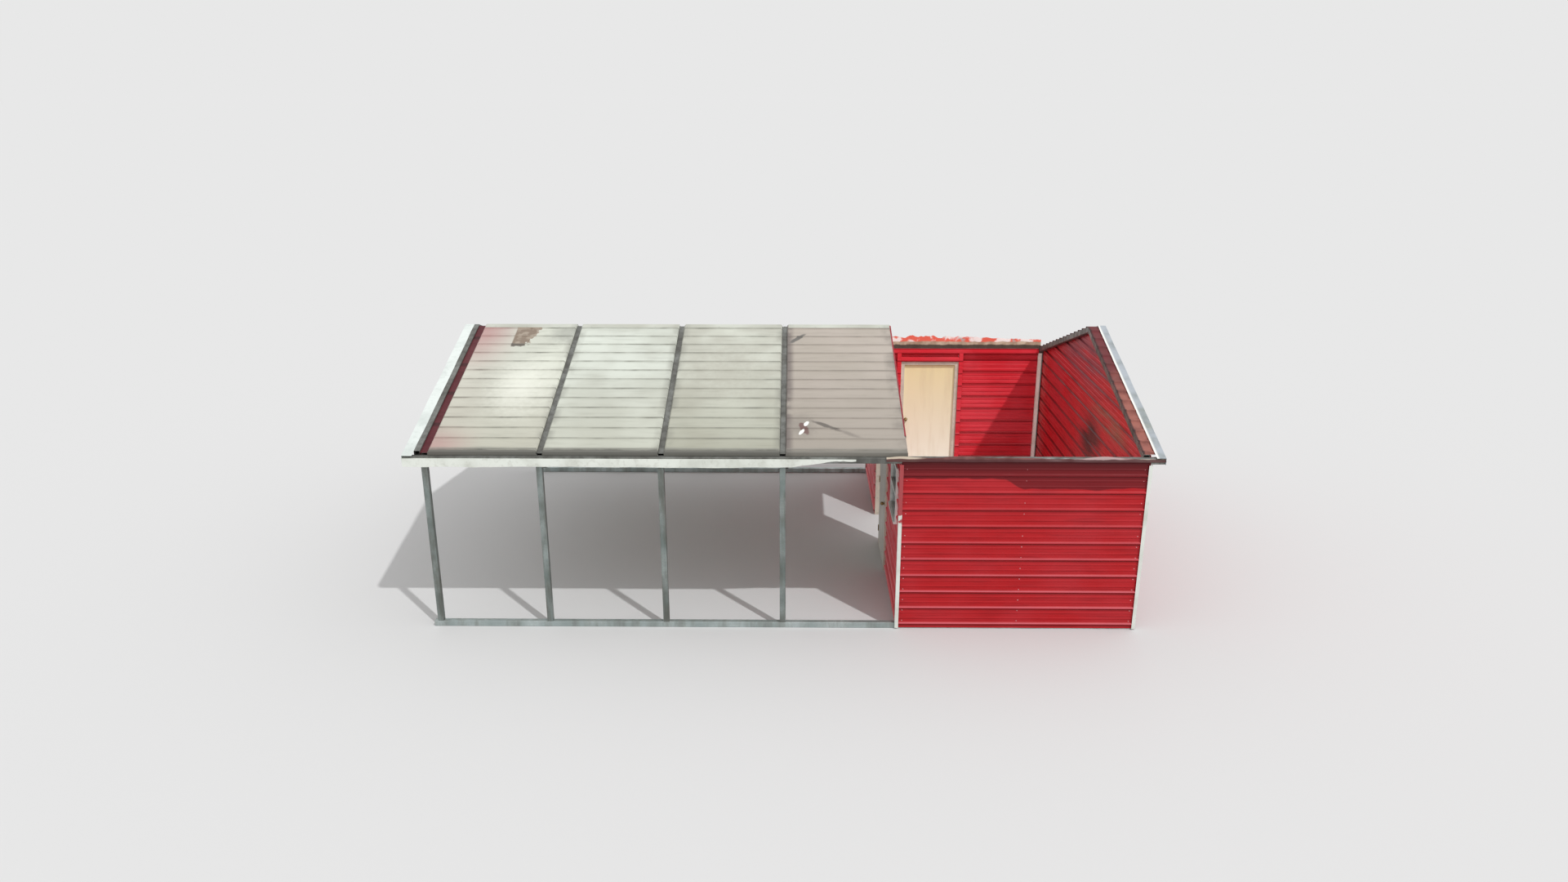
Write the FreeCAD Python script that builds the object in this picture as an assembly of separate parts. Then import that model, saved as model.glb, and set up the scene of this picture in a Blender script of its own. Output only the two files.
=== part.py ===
"""Steel-tube carport with a sheet-steel office at one end.

Millimetres, +Z up.  The origin is on the ground at the middle of the plan.
+X runs along the building from the open end to the office, +Y to the back.
"""
import FreeCAD, Part
import math
import os

V = FreeCAD.Vector

# ---- driving dimensions -------------------------------------------------
# plan and roof
BAY = 1524.0                # spacing of the frames along the building
CARPORT_BAYS = 4
OFFICE_BAYS = 2
WIDTH = 6096.0              # over the outer faces of the front and back posts
EAVE_HEIGHT = 2380.0        # underside of the roof sheets, at the outer post faces
ROOF_PITCH = 4.0 / 12.0
OVERHANG = 185.0            # roof trim past each end of the base rails
OPEN_END_INSET = 84.0       # centre of the first frame, in from the end of the rails

# galvanised square tube
TUBE = 76.2
TUBE_WALL = 2.8
TUBE_CORNER = 7.0           # outside radius of a tube's corners
SHEET_TO_BOW = 26.0         # how far the bows lie below the roof sheets
PEAK_GAP = 1.0              # half of the slit between two rafters at the peak

# ribbed steel sheet
SHEET = 2.0
RIB_PITCH = 228.6
RIB_HEIGHT = 19.0
RIB_FOOT = 46.0
RIB_CREST = 16.0
MINOR_HEIGHT = 4.0
MINOR_FOOT = 26.0
MINOR_CREST = 12.0
ROOF_RIB_HEIGHT = 12.0       # the roof sheets have lower, narrower ribs
ROOF_RIB_FOOT = 26.0
ROOF_RIB_CREST = 8.0
FIRST_WALL_RIB = 0.0        # middle of the lowest wall rib, above the top of the base rail
FIRST_ROOF_RIB = 120.0      # first rib's distance down from the ridge
WALL_FOOT = 12.0            # walls stop this far above the ground
SEAM = 1.0                  # gap between two neighbouring sheets

# ends of the roof sheets
SHEET_TURN_DOWN = 45.0
SHEET_SHOULDER = 15.0
SHEET_LAP = 25.0
SHEET_EAVE_SETBACK = 60.0   # lower edge of the sheets, in from the outer post faces
RIDGE_CAP_WING = 96.0

# trims, folded from flat steel
TRIM = 1.5
TRIM_PROUD = 24.0           # eave trim, out from the post faces
TRIM_BELOW_RAIL = 20.0      # top of the eave trim, below the top of the rail
CARPORT_TRIM_LIP = 63.8      # the white trim reaches this far below the eave rail
OFFICE_TRIM_LIP = 5.8
CARPORT_TRIM_STOP = 610.0    # the front trim has lost its last piece, from this far ...
OFFICE_TRIM_STOP = 234.0     # ... to this far before the partition
TRIM_RETURN = 14.0
CORNER_TRIM = 46.0
RAKE_TOP = 147.0
RAKE_TOP_OFFICE = 128.0
RAKE_LEG = 96.0
VERGE_WIDTH = 150.0

# doors, both alike
LEAF_WIDTH = 914.4
LEAF_HEIGHT = 2032.0
LEAF_THICKNESS = 44.0
LEAF_FOOT = 20.0
DOOR_GAP = 5.0
JAMB_WIDTH = 50.0
JAMB_FACE = 30.0            # outer face of jamb and leaf, out from the post faces
JAMB_DEPTH = 78.0
STOP_DEPTH = 29.0
STOP_REACH = 12.0
SILL_HEIGHT = 14.0
HINGE_PIN_OUT = 8.0         # pin centre, out from the face of the leaf
HINGE_RADIUS = 6.0
HINGE_LENGTH = 100.0
HINGE_PLATE = 2.0
HINGE_PLATE_REACH = 34.0
HINGE_HEIGHTS = (230.0, 1030.0, 1830.0)
KNOB_BACKSET = 60.0
KNOB_HEIGHT = 1015.0
KNOB_REACH = 62.0
KNOB_RADIUS = 26.0
ROSE_RADIUS = 32.0
ROSE_THICKNESS = 8.0
NECK_RADIUS = 11.0
BACK_DOOR_ALONG = 1045.5     # middle of the back door, from the partition
SIDE_DOOR_ALONG = 3823.0     # middle of the side door, from the back wall
HEADER_TO_TIE = 18.4         # a door's header is as tall as the room under the tie leaves it

# window beside the side door
WINDOW = 762.0
WINDOW_ALONG = 686.0         # middle of the window, from the front wall
WINDOW_TO_TIE = 22.4         # above the rail over the window
WINDOW_BAR = 46.0
WINDOW_RAIL = 34.0
WINDOW_FACE = 34.0
WINDOW_DEPTH = 70.0
GLASS = 6.0
SILL_REACH = 20.0
SILL_DEPTH = 30.0
PASSAGE_ALONG = 1727.0       # post at the far side of the open passage, from the side door

# ---- places worked out from them ---------------------------------------
HALF = WIDTH / 2
LENGTH = BAY * (CARPORT_BAYS + OFFICE_BAYS)
END = LENGTH / 2
TRIM_END = END + OVERHANG
ANGLE = math.atan(ROOF_PITCH)
COS = math.cos(ANGLE)
SIN = math.sin(ANGLE)
RIDGE = EAVE_HEIGHT + HALF * ROOF_PITCH
POST_IN = HALF - TUBE             # inner face of posts and rails, from the middle
RAIL_TOP = EAVE_HEIGHT - SHEET_TO_BOW
RAIL_FOOT = RAIL_TOP - TUBE
TIE_FOOT = RAIL_FOOT - TUBE
SHEET_DEPTH = RIB_HEIGHT + SHEET
WALL_RIB = (RIB_FOOT, RIB_CREST, RIB_HEIGHT)
LOWEST_RIB = TUBE + FIRST_WALL_RIB
ROOF_RIB = (ROOF_RIB_FOOT, ROOF_RIB_CREST, ROOF_RIB_HEIGHT)
OPEN_BOW_X = -END + OPEN_END_INSET
OFFICE_X = -END + CARPORT_BAYS * BAY
GABLE_X = END - TUBE / 2
CARPORT_X = [OPEN_BOW_X] + [-END + i * BAY for i in range(1, CARPORT_BAYS)]
OFFICE_OUT = OFFICE_X - TUBE / 2  # carport face of the partition's posts
TRIM_TOP = RAIL_TOP - TRIM_BELOW_RAIL
CARPORT_TRIM_DEPTH = TUBE - TRIM_BELOW_RAIL + CARPORT_TRIM_LIP
OFFICE_TRIM_DEPTH = TUBE - TRIM_BELOW_RAIL + OFFICE_TRIM_LIP
CARPORT_TRIM_END = OFFICE_X - CARPORT_TRIM_STOP
OFFICE_TRIM_START = OFFICE_X - OFFICE_TRIM_STOP
BACK_DOOR_X = OFFICE_X + BACK_DOOR_ALONG
SIDE_DOOR_Y = HALF - SIDE_DOOR_ALONG
WINDOW_Y = WINDOW_ALONG - HALF
WINDOW_FOOT = TIE_FOOT - WINDOW_TO_TIE - TUBE - WINDOW
PASSAGE_POST_Y = SIDE_DOOR_Y + PASSAGE_ALONG
PASSAGE_FAR = PASSAGE_POST_Y - TUBE / 2
DOOR_HALF = LEAF_WIDTH / 2 + DOOR_GAP + JAMB_WIDTH
DOOR_TOP = LEAF_FOOT + LEAF_HEIGHT + DOOR_GAP + JAMB_WIDTH
HEADER_HEIGHT = TIE_FOOT - HEADER_TO_TIE - DOOR_TOP
HEADER_Z = DOOR_TOP + HEADER_HEIGHT / 2
SHEET_END_Y = HALF - SHEET_EAVE_SETBACK

FRONT = -1
BACK = 1
nodes = {}


# ---- shared shapes ------------------------------------------------------
def box(x0, x1, y0, y1, z0, z1):
    """Block between two corners."""
    return Part.makeBox(x1 - x0, y1 - y0, z1 - z0, V(x0, y0, z0))


def prism(points, along):
    """Solid from a closed outline, pushed along a vector."""
    outline = Part.makePolygon(points + [points[0]])
    return Part.Face(outline).extrude(along)


def rounded_box(centre, a, b, half_a, half_b, radius):
    """Outline of a tube: a rectangle with round corners, in the plane of a and b."""
    flat_a, flat_b = half_a - radius, half_b - radius
    bend = radius * math.sqrt(0.5)
    arcs = []
    for ca, cb in ((1, 1), (-1, 1), (-1, -1), (1, -1)):
        on_a = centre + a * (ca * half_a) + b * (cb * flat_b)
        on_b = centre + a * (ca * flat_a) + b * (cb * half_b)
        middle = centre + a * (ca * (flat_a + bend)) + b * (cb * (flat_b + bend))
        ends = (on_a, on_b) if ca == cb else (on_b, on_a)
        arcs.append((ends[0], middle, ends[1]))
    edges = []
    for arc, following in zip(arcs, arcs[1:] + arcs[:1]):
        edges.append(Part.Arc(*arc).toShape())
        edges.append(Part.LineSegment(arc[2], following[0]).toShape())
    return Part.Wire(edges)


def tube(start, along, a, b, size_a=TUBE, size_b=TUBE):
    """Hollow tube whose section is centred on start; square unless a size is given."""
    half_a, half_b = size_a / 2, size_b / 2
    outer = rounded_box(start, a, b, half_a, half_b, TUBE_CORNER)
    inner = rounded_box(start, a, b, half_a - TUBE_WALL, half_b - TUBE_WALL,
                        TUBE_CORNER - TUBE_WALL)
    return Part.Face(outer).extrude(along).cut(Part.Face(inner).extrude(along))


def tube_x(x0, x1, y, z, height=TUBE):
    return tube(V(x0, y, z), V(x1 - x0, 0, 0), V(0, 1, 0), V(0, 0, 1), TUBE, height)


def tube_y(y0, y1, x, z, height=TUBE):
    return tube(V(x, y0, z), V(0, y1 - y0, 0), V(0, 0, 1), V(1, 0, 0), height, TUBE)


def tube_z(z0, z1, x, y):
    return tube(V(x, y, z0), V(0, 0, z1 - z0), V(1, 0, 0), V(0, 1, 0))


def roof_point(x, s, n, side):
    """Point at s down the slope from the ridge and n above the sheets' underside."""
    return V(x, side * (s * COS + n * SIN), RIDGE - s * SIN + n * COS)


def roof_z(y, n=0.0):
    """Height of the roof plane, raised by n square to the slope, above y."""
    return RIDGE - abs(y) * ROOF_PITCH + n / COS


def slope_at(y):
    """Distance down the slope to a point on the roof plane above y."""
    return abs(y) / COS


def rafter(x, side, y_in, y_out, top):
    """Tube under one slope, its ends cut upright, its upper face at n = top."""
    n = top - TUBE / 2
    start = roof_point(x, -TUBE, n, side)
    stop = roof_point(x, slope_at(y_out) + TUBE, n, side)
    square = V(0, side * SIN, COS)
    long_tube = tube(start, stop - start, V(1, 0, 0), square)
    low, high = sorted((side * y_in, side * y_out))
    return long_tube.common(box(x - TUBE, x + TUBE, low, high, 0, RIDGE + TUBE))


def bow(x, top=-SHEET_TO_BOW):
    """Two rafters that meet at the ridge, with a fine slit between them."""
    return [rafter(x, side, PEAK_GAP, POST_IN, top) for side in (FRONT, BACK)]


def rib_outline(p0, p1, first, rib=WALL_RIB, minor=True):
    """Line of a ribbed sheet between p0 and p1: flats, ribs and smaller ribs."""
    shapes = []
    centre = first
    while centre < p1 + RIB_PITCH:
        shapes.append((centre, *rib))
        if minor:
            for third in (1, 2):
                place = centre - third * RIB_PITCH / 3
                shapes.append((place, MINOR_FOOT, MINOR_CREST, MINOR_HEIGHT))
        centre += RIB_PITCH
    line = [(p0, 0.0)]
    for place, foot, crest, height in sorted(shapes):
        if place - foot / 2 <= p0 or place + foot / 2 >= p1:
            continue
        line += [(place - foot / 2, 0.0), (place - crest / 2, height)]
        line += [(place + crest / 2, height), (place + foot / 2, 0.0)]
    return line + [(p1, 0.0)]


def ribbed_sheet(line, place, along):
    """Sheet from its rib line; place turns (distance, height) into a point."""
    upper = [place(p, h + SHEET) for p, h in line]
    lower = [place(p, h) for p, h in reversed(line)]
    return prism(upper + lower, along)


def wall_along_x(side, x0, x1, z0, z1):
    """Wall sheet on the front or back, outside the posts, ribs outward."""
    line = rib_outline(z0, z1, LOWEST_RIB)
    return ribbed_sheet(line, lambda p, h: V(x0, side * (HALF + h), p), V(x1 - x0, 0, 0))


def wall_along_y(face, out, y0, y1, z0, z1):
    """Wall sheet across the building on a face, ribs towards out (+1 or -1)."""
    line = rib_outline(z0, z1, LOWEST_RIB)
    return ribbed_sheet(line, lambda p, h: V(face + out * h, y0, p), V(0, y1 - y0, 0))


def under_roof(x0, x1, y, z0):
    """Everything above z0 and below the tops of the bows, between -y and y."""
    top = -SHEET_TO_BOW
    outline = [V(x0, -y, z0), V(x0, y, z0), V(x0, y, roof_z(y, top))]
    outline += [V(x0, 0, roof_z(0, top)), V(x0, -y, roof_z(y, top))]
    return prism(outline, V(x1 - x0, 0, 0))


def at_back_door(shape):
    """Door parts are drawn at the origin, outward along +Y; the back wall faces so."""
    placed = shape.copy()
    placed.translate(V(BACK_DOOR_X, HALF, 0))
    return placed


def at_partition(shape, y):
    """Turns parts drawn outward along +Y to face the carport."""
    placed = shape.copy()
    placed.rotate(V(0, 0, 0), V(0, 0, 1), 90)
    placed.translate(V(OFFICE_OUT, y, 0))
    return placed


# ---- base rails and posts ----------------------------------------------
rail_y = HALF - TUBE / 2
rail_z = TUBE / 2
door_cut = DOOR_HALF + TUBE
nodes["front_base_rail"] = [tube_x(-END, END, -rail_y, rail_z)]
nodes["back_base_rail"] = [
    tube_x(-END, BACK_DOOR_X - door_cut, rail_y, rail_z),
    tube_x(BACK_DOOR_X + door_cut, END, rail_y, rail_z),
]
nodes["office_end_base_rail"] = [tube_y(-POST_IN, POST_IN, GABLE_X, rail_z)]
nodes["partition_base_rail"] = [
    tube_y(-POST_IN, SIDE_DOOR_Y - door_cut, OFFICE_X, rail_z),
    tube_y(PASSAGE_POST_Y + TUBE / 2, POST_IN, OFFICE_X, rail_z),
]
for name, side in (("front_posts", FRONT), ("back_posts", BACK)):
    nodes[name] = [tube_z(TUBE, RAIL_FOOT, x, side * rail_y) for x in CARPORT_X]
nodes["office_posts"] = [
    tube_z(TUBE, RAIL_FOOT, x, side * rail_y)
    for x in (OFFICE_X, GABLE_X)
    for side in (FRONT, BACK)
] + [tube_z(TUBE, RAIL_FOOT, OFFICE_X + BAY, -rail_y)]

# posts beside each doorway, with a short header between them
post_u = DOOR_HALF + TUBE / 2


def door_posts(top):
    """Two posts and a header, drawn for a doorway at the origin."""
    posts = [tube_z(0, top, u, -TUBE / 2) for u in (-post_u, post_u)]
    header = tube_x(-DOOR_HALF, DOOR_HALF, -TUBE / 2, HEADER_Z, HEADER_HEIGHT)
    return posts + [header]


nodes["back_door_posts"] = [at_back_door(s) for s in door_posts(RAIL_FOOT)]
nodes["side_door_posts"] = [at_partition(s, SIDE_DOOR_Y) for s in door_posts(TIE_FOOT)]
# the passage beside the side door has a post of its own and the same kind of header
nodes["passage_post"] = [
    tube_z(0, TIE_FOOT, OFFICE_X, PASSAGE_POST_Y),
    tube_y(SIDE_DOOR_Y + door_cut, PASSAGE_FAR, OFFICE_X, HEADER_Z, HEADER_HEIGHT),
]

# ---- rails, ties and bows ----------------------------------------------
rail_end = TRIM_END - TRIM - SEAM
for name, side in (("front_eave_rail", FRONT), ("back_eave_rail", BACK)):
    nodes[name] = [tube_x(-rail_end, rail_end, side * rail_y, RAIL_TOP - TUBE / 2)]
tie_z = RAIL_FOOT - TUBE / 2
nodes["open_end_tie"] = [tube_y(-POST_IN, POST_IN, OPEN_BOW_X, tie_z)]
for number, x in enumerate(CARPORT_X + [OFFICE_X], 1):
    nodes[f"bow_{number}"] = bow(x)
nodes["office_end_bow"] = bow(GABLE_X)
window_rail_zs = (WINDOW_FOOT - TUBE / 2, WINDOW_FOOT + WINDOW + TUBE / 2)
nodes["partition_rails"] = [tube_y(-POST_IN, POST_IN, OFFICE_X, tie_z)] + [
    tube_y(-POST_IN, SIDE_DOOR_Y - door_cut, OFFICE_X, z) for z in window_rail_zs
]

# ---- roof sheets --------------------------------------------------------
def past_peak(x0, x1, side):
    """Block on the far side of the ridge, which trims a sheet's upper edge upright."""
    low, high = sorted((side * PEAK_GAP, -side * TUBE))
    return box(x0 - SEAM, x1 + SEAM, low, high, 0, RIDGE + TUBE)


def turned_end(x, inward, side, s0, s1):
    """End of a roof sheet: a shoulder and a flange that hangs beside the bow."""
    line = [(0, -SHEET_TURN_DOWN), (0, SHEET - SHEET_SHOULDER), (SHEET_SHOULDER, SHEET)]
    line += [(SHEET_SHOULDER + SHEET_LAP, SHEET), (SHEET_SHOULDER + SHEET_LAP, 0)]
    line += [(SHEET_SHOULDER + SHEET, 0), (SHEET, -SHEET_SHOULDER), (SHEET, -SHEET_TURN_DOWN)]
    points = [roof_point(x + inward * u, s0, n, side) for u, n in line]
    return prism(points, roof_point(x, s1, 0, side) - roof_point(x, s0, 0, side))


def roof_sheet(x0, x1, side):
    """Ribbed sheet of one bay, turned down at both bows and onto the eave rail."""
    s0 = PEAK_GAP / COS
    s1 = slope_at(SHEET_END_Y)
    p0 = x0 + SHEET_SHOULDER
    line = rib_outline(s0, s1, FIRST_ROOF_RIB, ROOF_RIB, minor=False)
    pan = ribbed_sheet(
        line,
        lambda p, h: roof_point(p0, p, h, side),
        V(x1 - x0 - 2 * SHEET_SHOULDER, 0, 0),
    )
    ends = [turned_end(x0, 1, side, s0, s1), turned_end(x1, -1, side, s0, s1)]
    y_lip = sorted((side * SHEET_END_Y, side * (SHEET_END_Y - SHEET)))
    lip = box(x0, x1, y_lip[0], y_lip[1], RAIL_TOP, roof_z(SHEET_END_Y, SHEET / 2))
    whole = pan.fuse(ends + [lip])
    return whole.cut(past_peak(x0, x1, side)).removeSplitter()


bow_faces = [(x - TUBE / 2, x + TUBE / 2) for x in CARPORT_X + [OFFICE_X]]
bays = []
for i in range(CARPORT_BAYS):
    right = bow_faces[i + 1][0]
    if i == CARPORT_BAYS - 1:
        right = bow_faces[i + 1][1] + SHEET   # the last bay laps over its bow
    bays.append((bow_faces[i][1], right))
for number, (x0, x1) in enumerate(bays, 1):
    nodes[f"roof_front_{number}"] = [roof_sheet(x0, x1, FRONT)]
nodes["roof_back"] = [roof_sheet(x0, x1, BACK) for x0, x1 in bays]


def ridge_cap(x0, x1):
    """Folded strip that lies on both slopes over the ridge."""
    under = SHEET
    wing = RIDGE_CAP_WING
    line = [roof_point(x0, wing, under, FRONT), V(x0, 0, roof_z(0, under))]
    line += [roof_point(x0, wing, under, BACK), roof_point(x0, wing, under + TRIM, BACK)]
    line += [V(x0, 0, roof_z(0, under + TRIM)), roof_point(x0, wing, under + TRIM, FRONT)]
    return prism(line, V(x1 - x0, 0, 0))


nodes["ridge_caps"] = [ridge_cap(x0 + SHEET_SHOULDER, x1 - SHEET_SHOULDER) for x0, x1 in bays]

# ---- open end: gable sheet and roof edge --------------------------------
open_face = OPEN_BOW_X - TUBE / 2
infill_y = POST_IN - SEAM
infill = wall_along_y(open_face, -1, -infill_y, infill_y, TIE_FOOT, RIDGE)
nodes["open_end_gable"] = [
    infill.common(under_roof(open_face - SHEET_DEPTH, open_face, infill_y, TIE_FOOT))
]


def roof_strip(x0, x1, side, n0, n1, y_out):
    """Flat strip along one slope from the ridge, its ends cut upright."""
    points = [V(x0, side * PEAK_GAP, roof_z(PEAK_GAP, n)) for n in (n0, n1)]
    points += [V(x0, side * y_out, roof_z(y_out, n)) for n in (n1, n0)]
    return prism(points, V(x1 - x0, 0, 0))


flange_x = open_face - SHEET_DEPTH
nodes["open_end_gable"] += [
    roof_strip(flange_x, open_face + TUBE, side, -SHEET_TO_BOW, SHEET - SHEET_TO_BOW, POST_IN)
    for side in (FRONT, BACK)
]
edge_x = flange_x - SEAM - TUBE / 2
nodes["open_end_edge_rafters"] = bow(edge_x, -TRIM)


def rake_trim(x_out, x_in, n, side):
    """Angle along the roof's end: a wide top leg and a hanging outer leg."""
    y_out = HALF + TRIM_PROUD
    top = roof_strip(min(x_out, x_in), max(x_out, x_in), side, n - TRIM, n, y_out)
    inner = x_out - math.copysign(TRIM, x_out)
    leg = roof_strip(min(x_out, inner), max(x_out, inner), side, n - RAKE_LEG, n, y_out)
    return top.fuse(leg).removeSplitter()


nodes["rake_trim_open_end"] = [
    rake_trim(-TRIM_END, -TRIM_END + RAKE_TOP, 0.0, side) for side in (FRONT, BACK)
]

# ---- office end: gable wall and roof edge --------------------------------
gable = wall_along_y(END, 1, -HALF, HALF, WALL_FOOT, RIDGE)
gable = gable.common(under_roof(END, END + SHEET_DEPTH, HALF, WALL_FOOT))
for side in (FRONT, BACK):
    low, high = sorted((side * (POST_IN - SEAM), side * (HALF + SEAM)))
    notch = box(END - SEAM, END + SHEET_DEPTH + SEAM, low, high, RAIL_FOOT - SEAM, RIDGE)
    gable = gable.cut(notch)
nodes["office_end_wall"] = [gable]


def verge_strip(side):
    """Edge of the ribbed roof sheet that is still on the office's end bow."""
    x0 = GABLE_X - TUBE / 2
    line = rib_outline(PEAK_GAP / COS, slope_at(POST_IN), FIRST_ROOF_RIB, minor=False)
    strip = ribbed_sheet(
        line,
        lambda p, h: roof_point(x0, p, h - SHEET_TO_BOW, side),
        V(VERGE_WIDTH, 0, 0),
    )
    return strip.cut(past_peak(x0, x0 + VERGE_WIDTH, side))


nodes["office_end_verge"] = [verge_strip(side) for side in (FRONT, BACK)]
rake_n = SHEET_DEPTH - SHEET_TO_BOW + TRIM
nodes["rake_trim_office_end"] = [
    rake_trim(TRIM_END, TRIM_END - RAKE_TOP_OFFICE, rake_n, side) for side in (FRONT, BACK)
]

# ---- office walls --------------------------------------------------------
wall_top = TRIM_TOP - TRIM - SEAM
back_door_left = BACK_DOOR_X - DOOR_HALF
back_door_right = BACK_DOOR_X + DOOR_HALF
nodes["office_front_wall"] = [wall_along_x(FRONT, OFFICE_OUT, END, WALL_FOOT, wall_top)]
nodes["office_back_wall"] = [
    wall_along_x(BACK, OFFICE_OUT, back_door_left, WALL_FOOT, wall_top),
    wall_along_x(BACK, back_door_right, END, WALL_FOOT, wall_top),
    wall_along_x(BACK, back_door_left + SEAM, back_door_right - SEAM, DOOR_TOP, wall_top),
]

# partition between the carport and the office
window_cut = box(
    OFFICE_OUT - SHEET_DEPTH - SEAM,
    OFFICE_OUT + SEAM,
    WINDOW_Y - WINDOW / 2,
    WINDOW_Y + WINDOW / 2,
    WINDOW_FOOT,
    WINDOW_FOOT + WINDOW,
)
rail_notches = []
for side in (FRONT, BACK):
    low, high = sorted((side * (POST_IN - SEAM), side * HALF))
    depth = SHEET_DEPTH + TRIM + CORNER_TRIM
    rail_notches.append(box(OFFICE_OUT - depth, END, low, high, 0, TUBE + SEAM))
partition_top = RAIL_FOOT - SEAM
door_near = SIDE_DOOR_Y - DOOR_HALF
nodes["partition_wall"] = [
    wall_along_y(OFFICE_OUT, -1, -HALF, door_near, WALL_FOOT, partition_top)
    .cut(window_cut)
    .cut(rail_notches[0]),
    wall_along_y(OFFICE_OUT, -1, PASSAGE_FAR, HALF, WALL_FOOT, partition_top).cut(rail_notches[1]),
    wall_along_y(OFFICE_OUT, -1, door_near + SEAM, PASSAGE_FAR - SEAM, DOOR_TOP, partition_top),
]
upper = wall_along_y(OFFICE_OUT, -1, -infill_y, infill_y, RAIL_FOOT, RIDGE)
nodes["partition_gable"] = [
    upper.common(under_roof(OFFICE_OUT - SHEET_DEPTH, OFFICE_OUT, infill_y, RAIL_FOOT))
]

# ---- corner and eave trims ----------------------------------------------
trim_gap = SHEET_DEPTH + TRIM / 2


def corner_trim(x_face, x_out, side, top):
    """Angle over the corner of two sheets; x_out and side point outward."""
    x1 = x_face + x_out * (trim_gap + TRIM)
    x0 = x1 - x_out * CORNER_TRIM
    y1 = side * (HALF + trim_gap + TRIM)
    y0 = y1 - side * CORNER_TRIM
    xi = x1 - x_out * TRIM
    yi = y1 - side * TRIM
    outline = [(x0, y1), (x1, y1), (x1, y0), (xi, y0), (xi, yi), (x0, yi)]
    return prism([V(x, y, WALL_FOOT) for x, y in outline], V(0, 0, top - WALL_FOOT))


front_top = TRIM_TOP - OFFICE_TRIM_DEPTH - SEAM
back_top = TRIM_TOP - CARPORT_TRIM_DEPTH - SEAM
nodes["corner_trims"] = [
    corner_trim(face, out, side, top).cut(notch)
    for face, out in ((OFFICE_OUT, -1), (END, 1))
    for side, top, notch in (
        (FRONT, front_top, rail_notches[0]),
        (BACK, back_top, rail_notches[1]),
    )
]


def eave_trim(x0, x1, side, depth):
    """Folded strip in front of the eave rail: a top leg, a face and a return."""
    foot = TRIM_TOP - depth
    out = HALF + TRIM_PROUD
    face = out - TRIM
    line = [(HALF, TRIM_TOP), (out, TRIM_TOP), (out, foot), (out - TRIM_RETURN, foot)]
    line += [(out - TRIM_RETURN, foot + TRIM), (face, foot + TRIM)]
    line += [(face, TRIM_TOP - TRIM), (HALF, TRIM_TOP - TRIM)]
    return prism([V(x0, side * y, z) for y, z in line], V(x1 - x0, 0, 0))


trim_limit = TRIM_END - TRIM - SEAM
nodes["eave_trim_carport"] = [
    eave_trim(-trim_limit, CARPORT_TRIM_END, FRONT, CARPORT_TRIM_DEPTH)
]
nodes["eave_trim_office"] = [
    eave_trim(OFFICE_TRIM_START, trim_limit, FRONT, OFFICE_TRIM_DEPTH)
]
nodes["eave_trim_back"] = [eave_trim(-trim_limit, trim_limit, BACK, CARPORT_TRIM_DEPTH)]

# ---- doors ---------------------------------------------------------------
leaf_half = LEAF_WIDTH / 2
jamb_in = leaf_half + DOOR_GAP
stop_face = JAMB_FACE - LEAF_THICKNESS - DOOR_GAP
jamb_back = JAMB_FACE - JAMB_DEPTH
leaf_top = LEAF_FOOT + LEAF_HEIGHT
head_foot = leaf_top + DOOR_GAP


def door_frame():
    """Two rebated jambs, a rebated head and a sill, with fine seams between."""
    jambs = []
    for hand in (-1, 1):
        inner = hand * jamb_in
        outline = [
            (inner, JAMB_FACE),
            (hand * DOOR_HALF, JAMB_FACE),
            (hand * DOOR_HALF, jamb_back),
            (inner - hand * STOP_REACH, jamb_back),
            (inner - hand * STOP_REACH, stop_face),
            (inner, stop_face),
        ]
        jambs.append(prism([V(u, v, 0) for u, v in outline], V(0, 0, DOOR_TOP)))
    length = jamb_in - SEAM
    outline = [
        (JAMB_FACE, DOOR_TOP),
        (JAMB_FACE, head_foot),
        (stop_face, head_foot),
        (stop_face, head_foot - STOP_REACH),
        (jamb_back, head_foot - STOP_REACH),
        (jamb_back, DOOR_TOP),
    ]
    head = prism([V(-length, v, z) for v, z in outline], V(2 * length, 0, 0))
    for hand in (-1, 1):
        ends = sorted((hand * (jamb_in - STOP_REACH - SEAM), hand * (jamb_in + SEAM)))
        clear = box(ends[0], ends[1], jamb_back - SEAM, stop_face + SEAM, 0, DOOR_TOP + SEAM)
        head = head.cut(clear)
    reach = jamb_in - STOP_REACH - SEAM
    sill = box(-reach, reach, jamb_back, JAMB_FACE, 0, SILL_HEIGHT)
    return jambs + [head, sill]


def door_leaf():
    face = JAMB_FACE - LEAF_THICKNESS
    return box(-leaf_half, leaf_half, face, JAMB_FACE, LEAF_FOOT, leaf_top)


def door_knob(direction, face):
    """Rose, neck and round knob on one face of the leaf."""
    u = -leaf_half + KNOB_BACKSET
    rose = Part.makeCylinder(ROSE_RADIUS, ROSE_THICKNESS, V(0, 0, 0), V(0, direction, 0))
    neck = Part.makeCylinder(NECK_RADIUS, KNOB_REACH - KNOB_RADIUS, V(0, 0, 0), V(0, direction, 0))
    ball = Part.makeSphere(KNOB_RADIUS, V(0, direction * (KNOB_REACH - KNOB_RADIUS), 0))
    knob = rose.fuse([neck, ball]).removeSplitter()
    knob.translate(V(u, face, KNOB_HEIGHT))
    return knob


def door_hinge(z):
    """Knuckle round the pin and the plate that is let in to the leaf's edge."""
    pin = V(leaf_half + DOOR_GAP / 2, JAMB_FACE + HINGE_PIN_OUT, z)
    knuckle = Part.makeCylinder(HINGE_RADIUS, HINGE_LENGTH, pin)
    plate = box(
        leaf_half,
        leaf_half + HINGE_PLATE,
        JAMB_FACE - HINGE_PLATE_REACH,
        pin.y,
        z,
        z + HINGE_LENGTH,
    )
    return knuckle.fuse(plate).removeSplitter()


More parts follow.
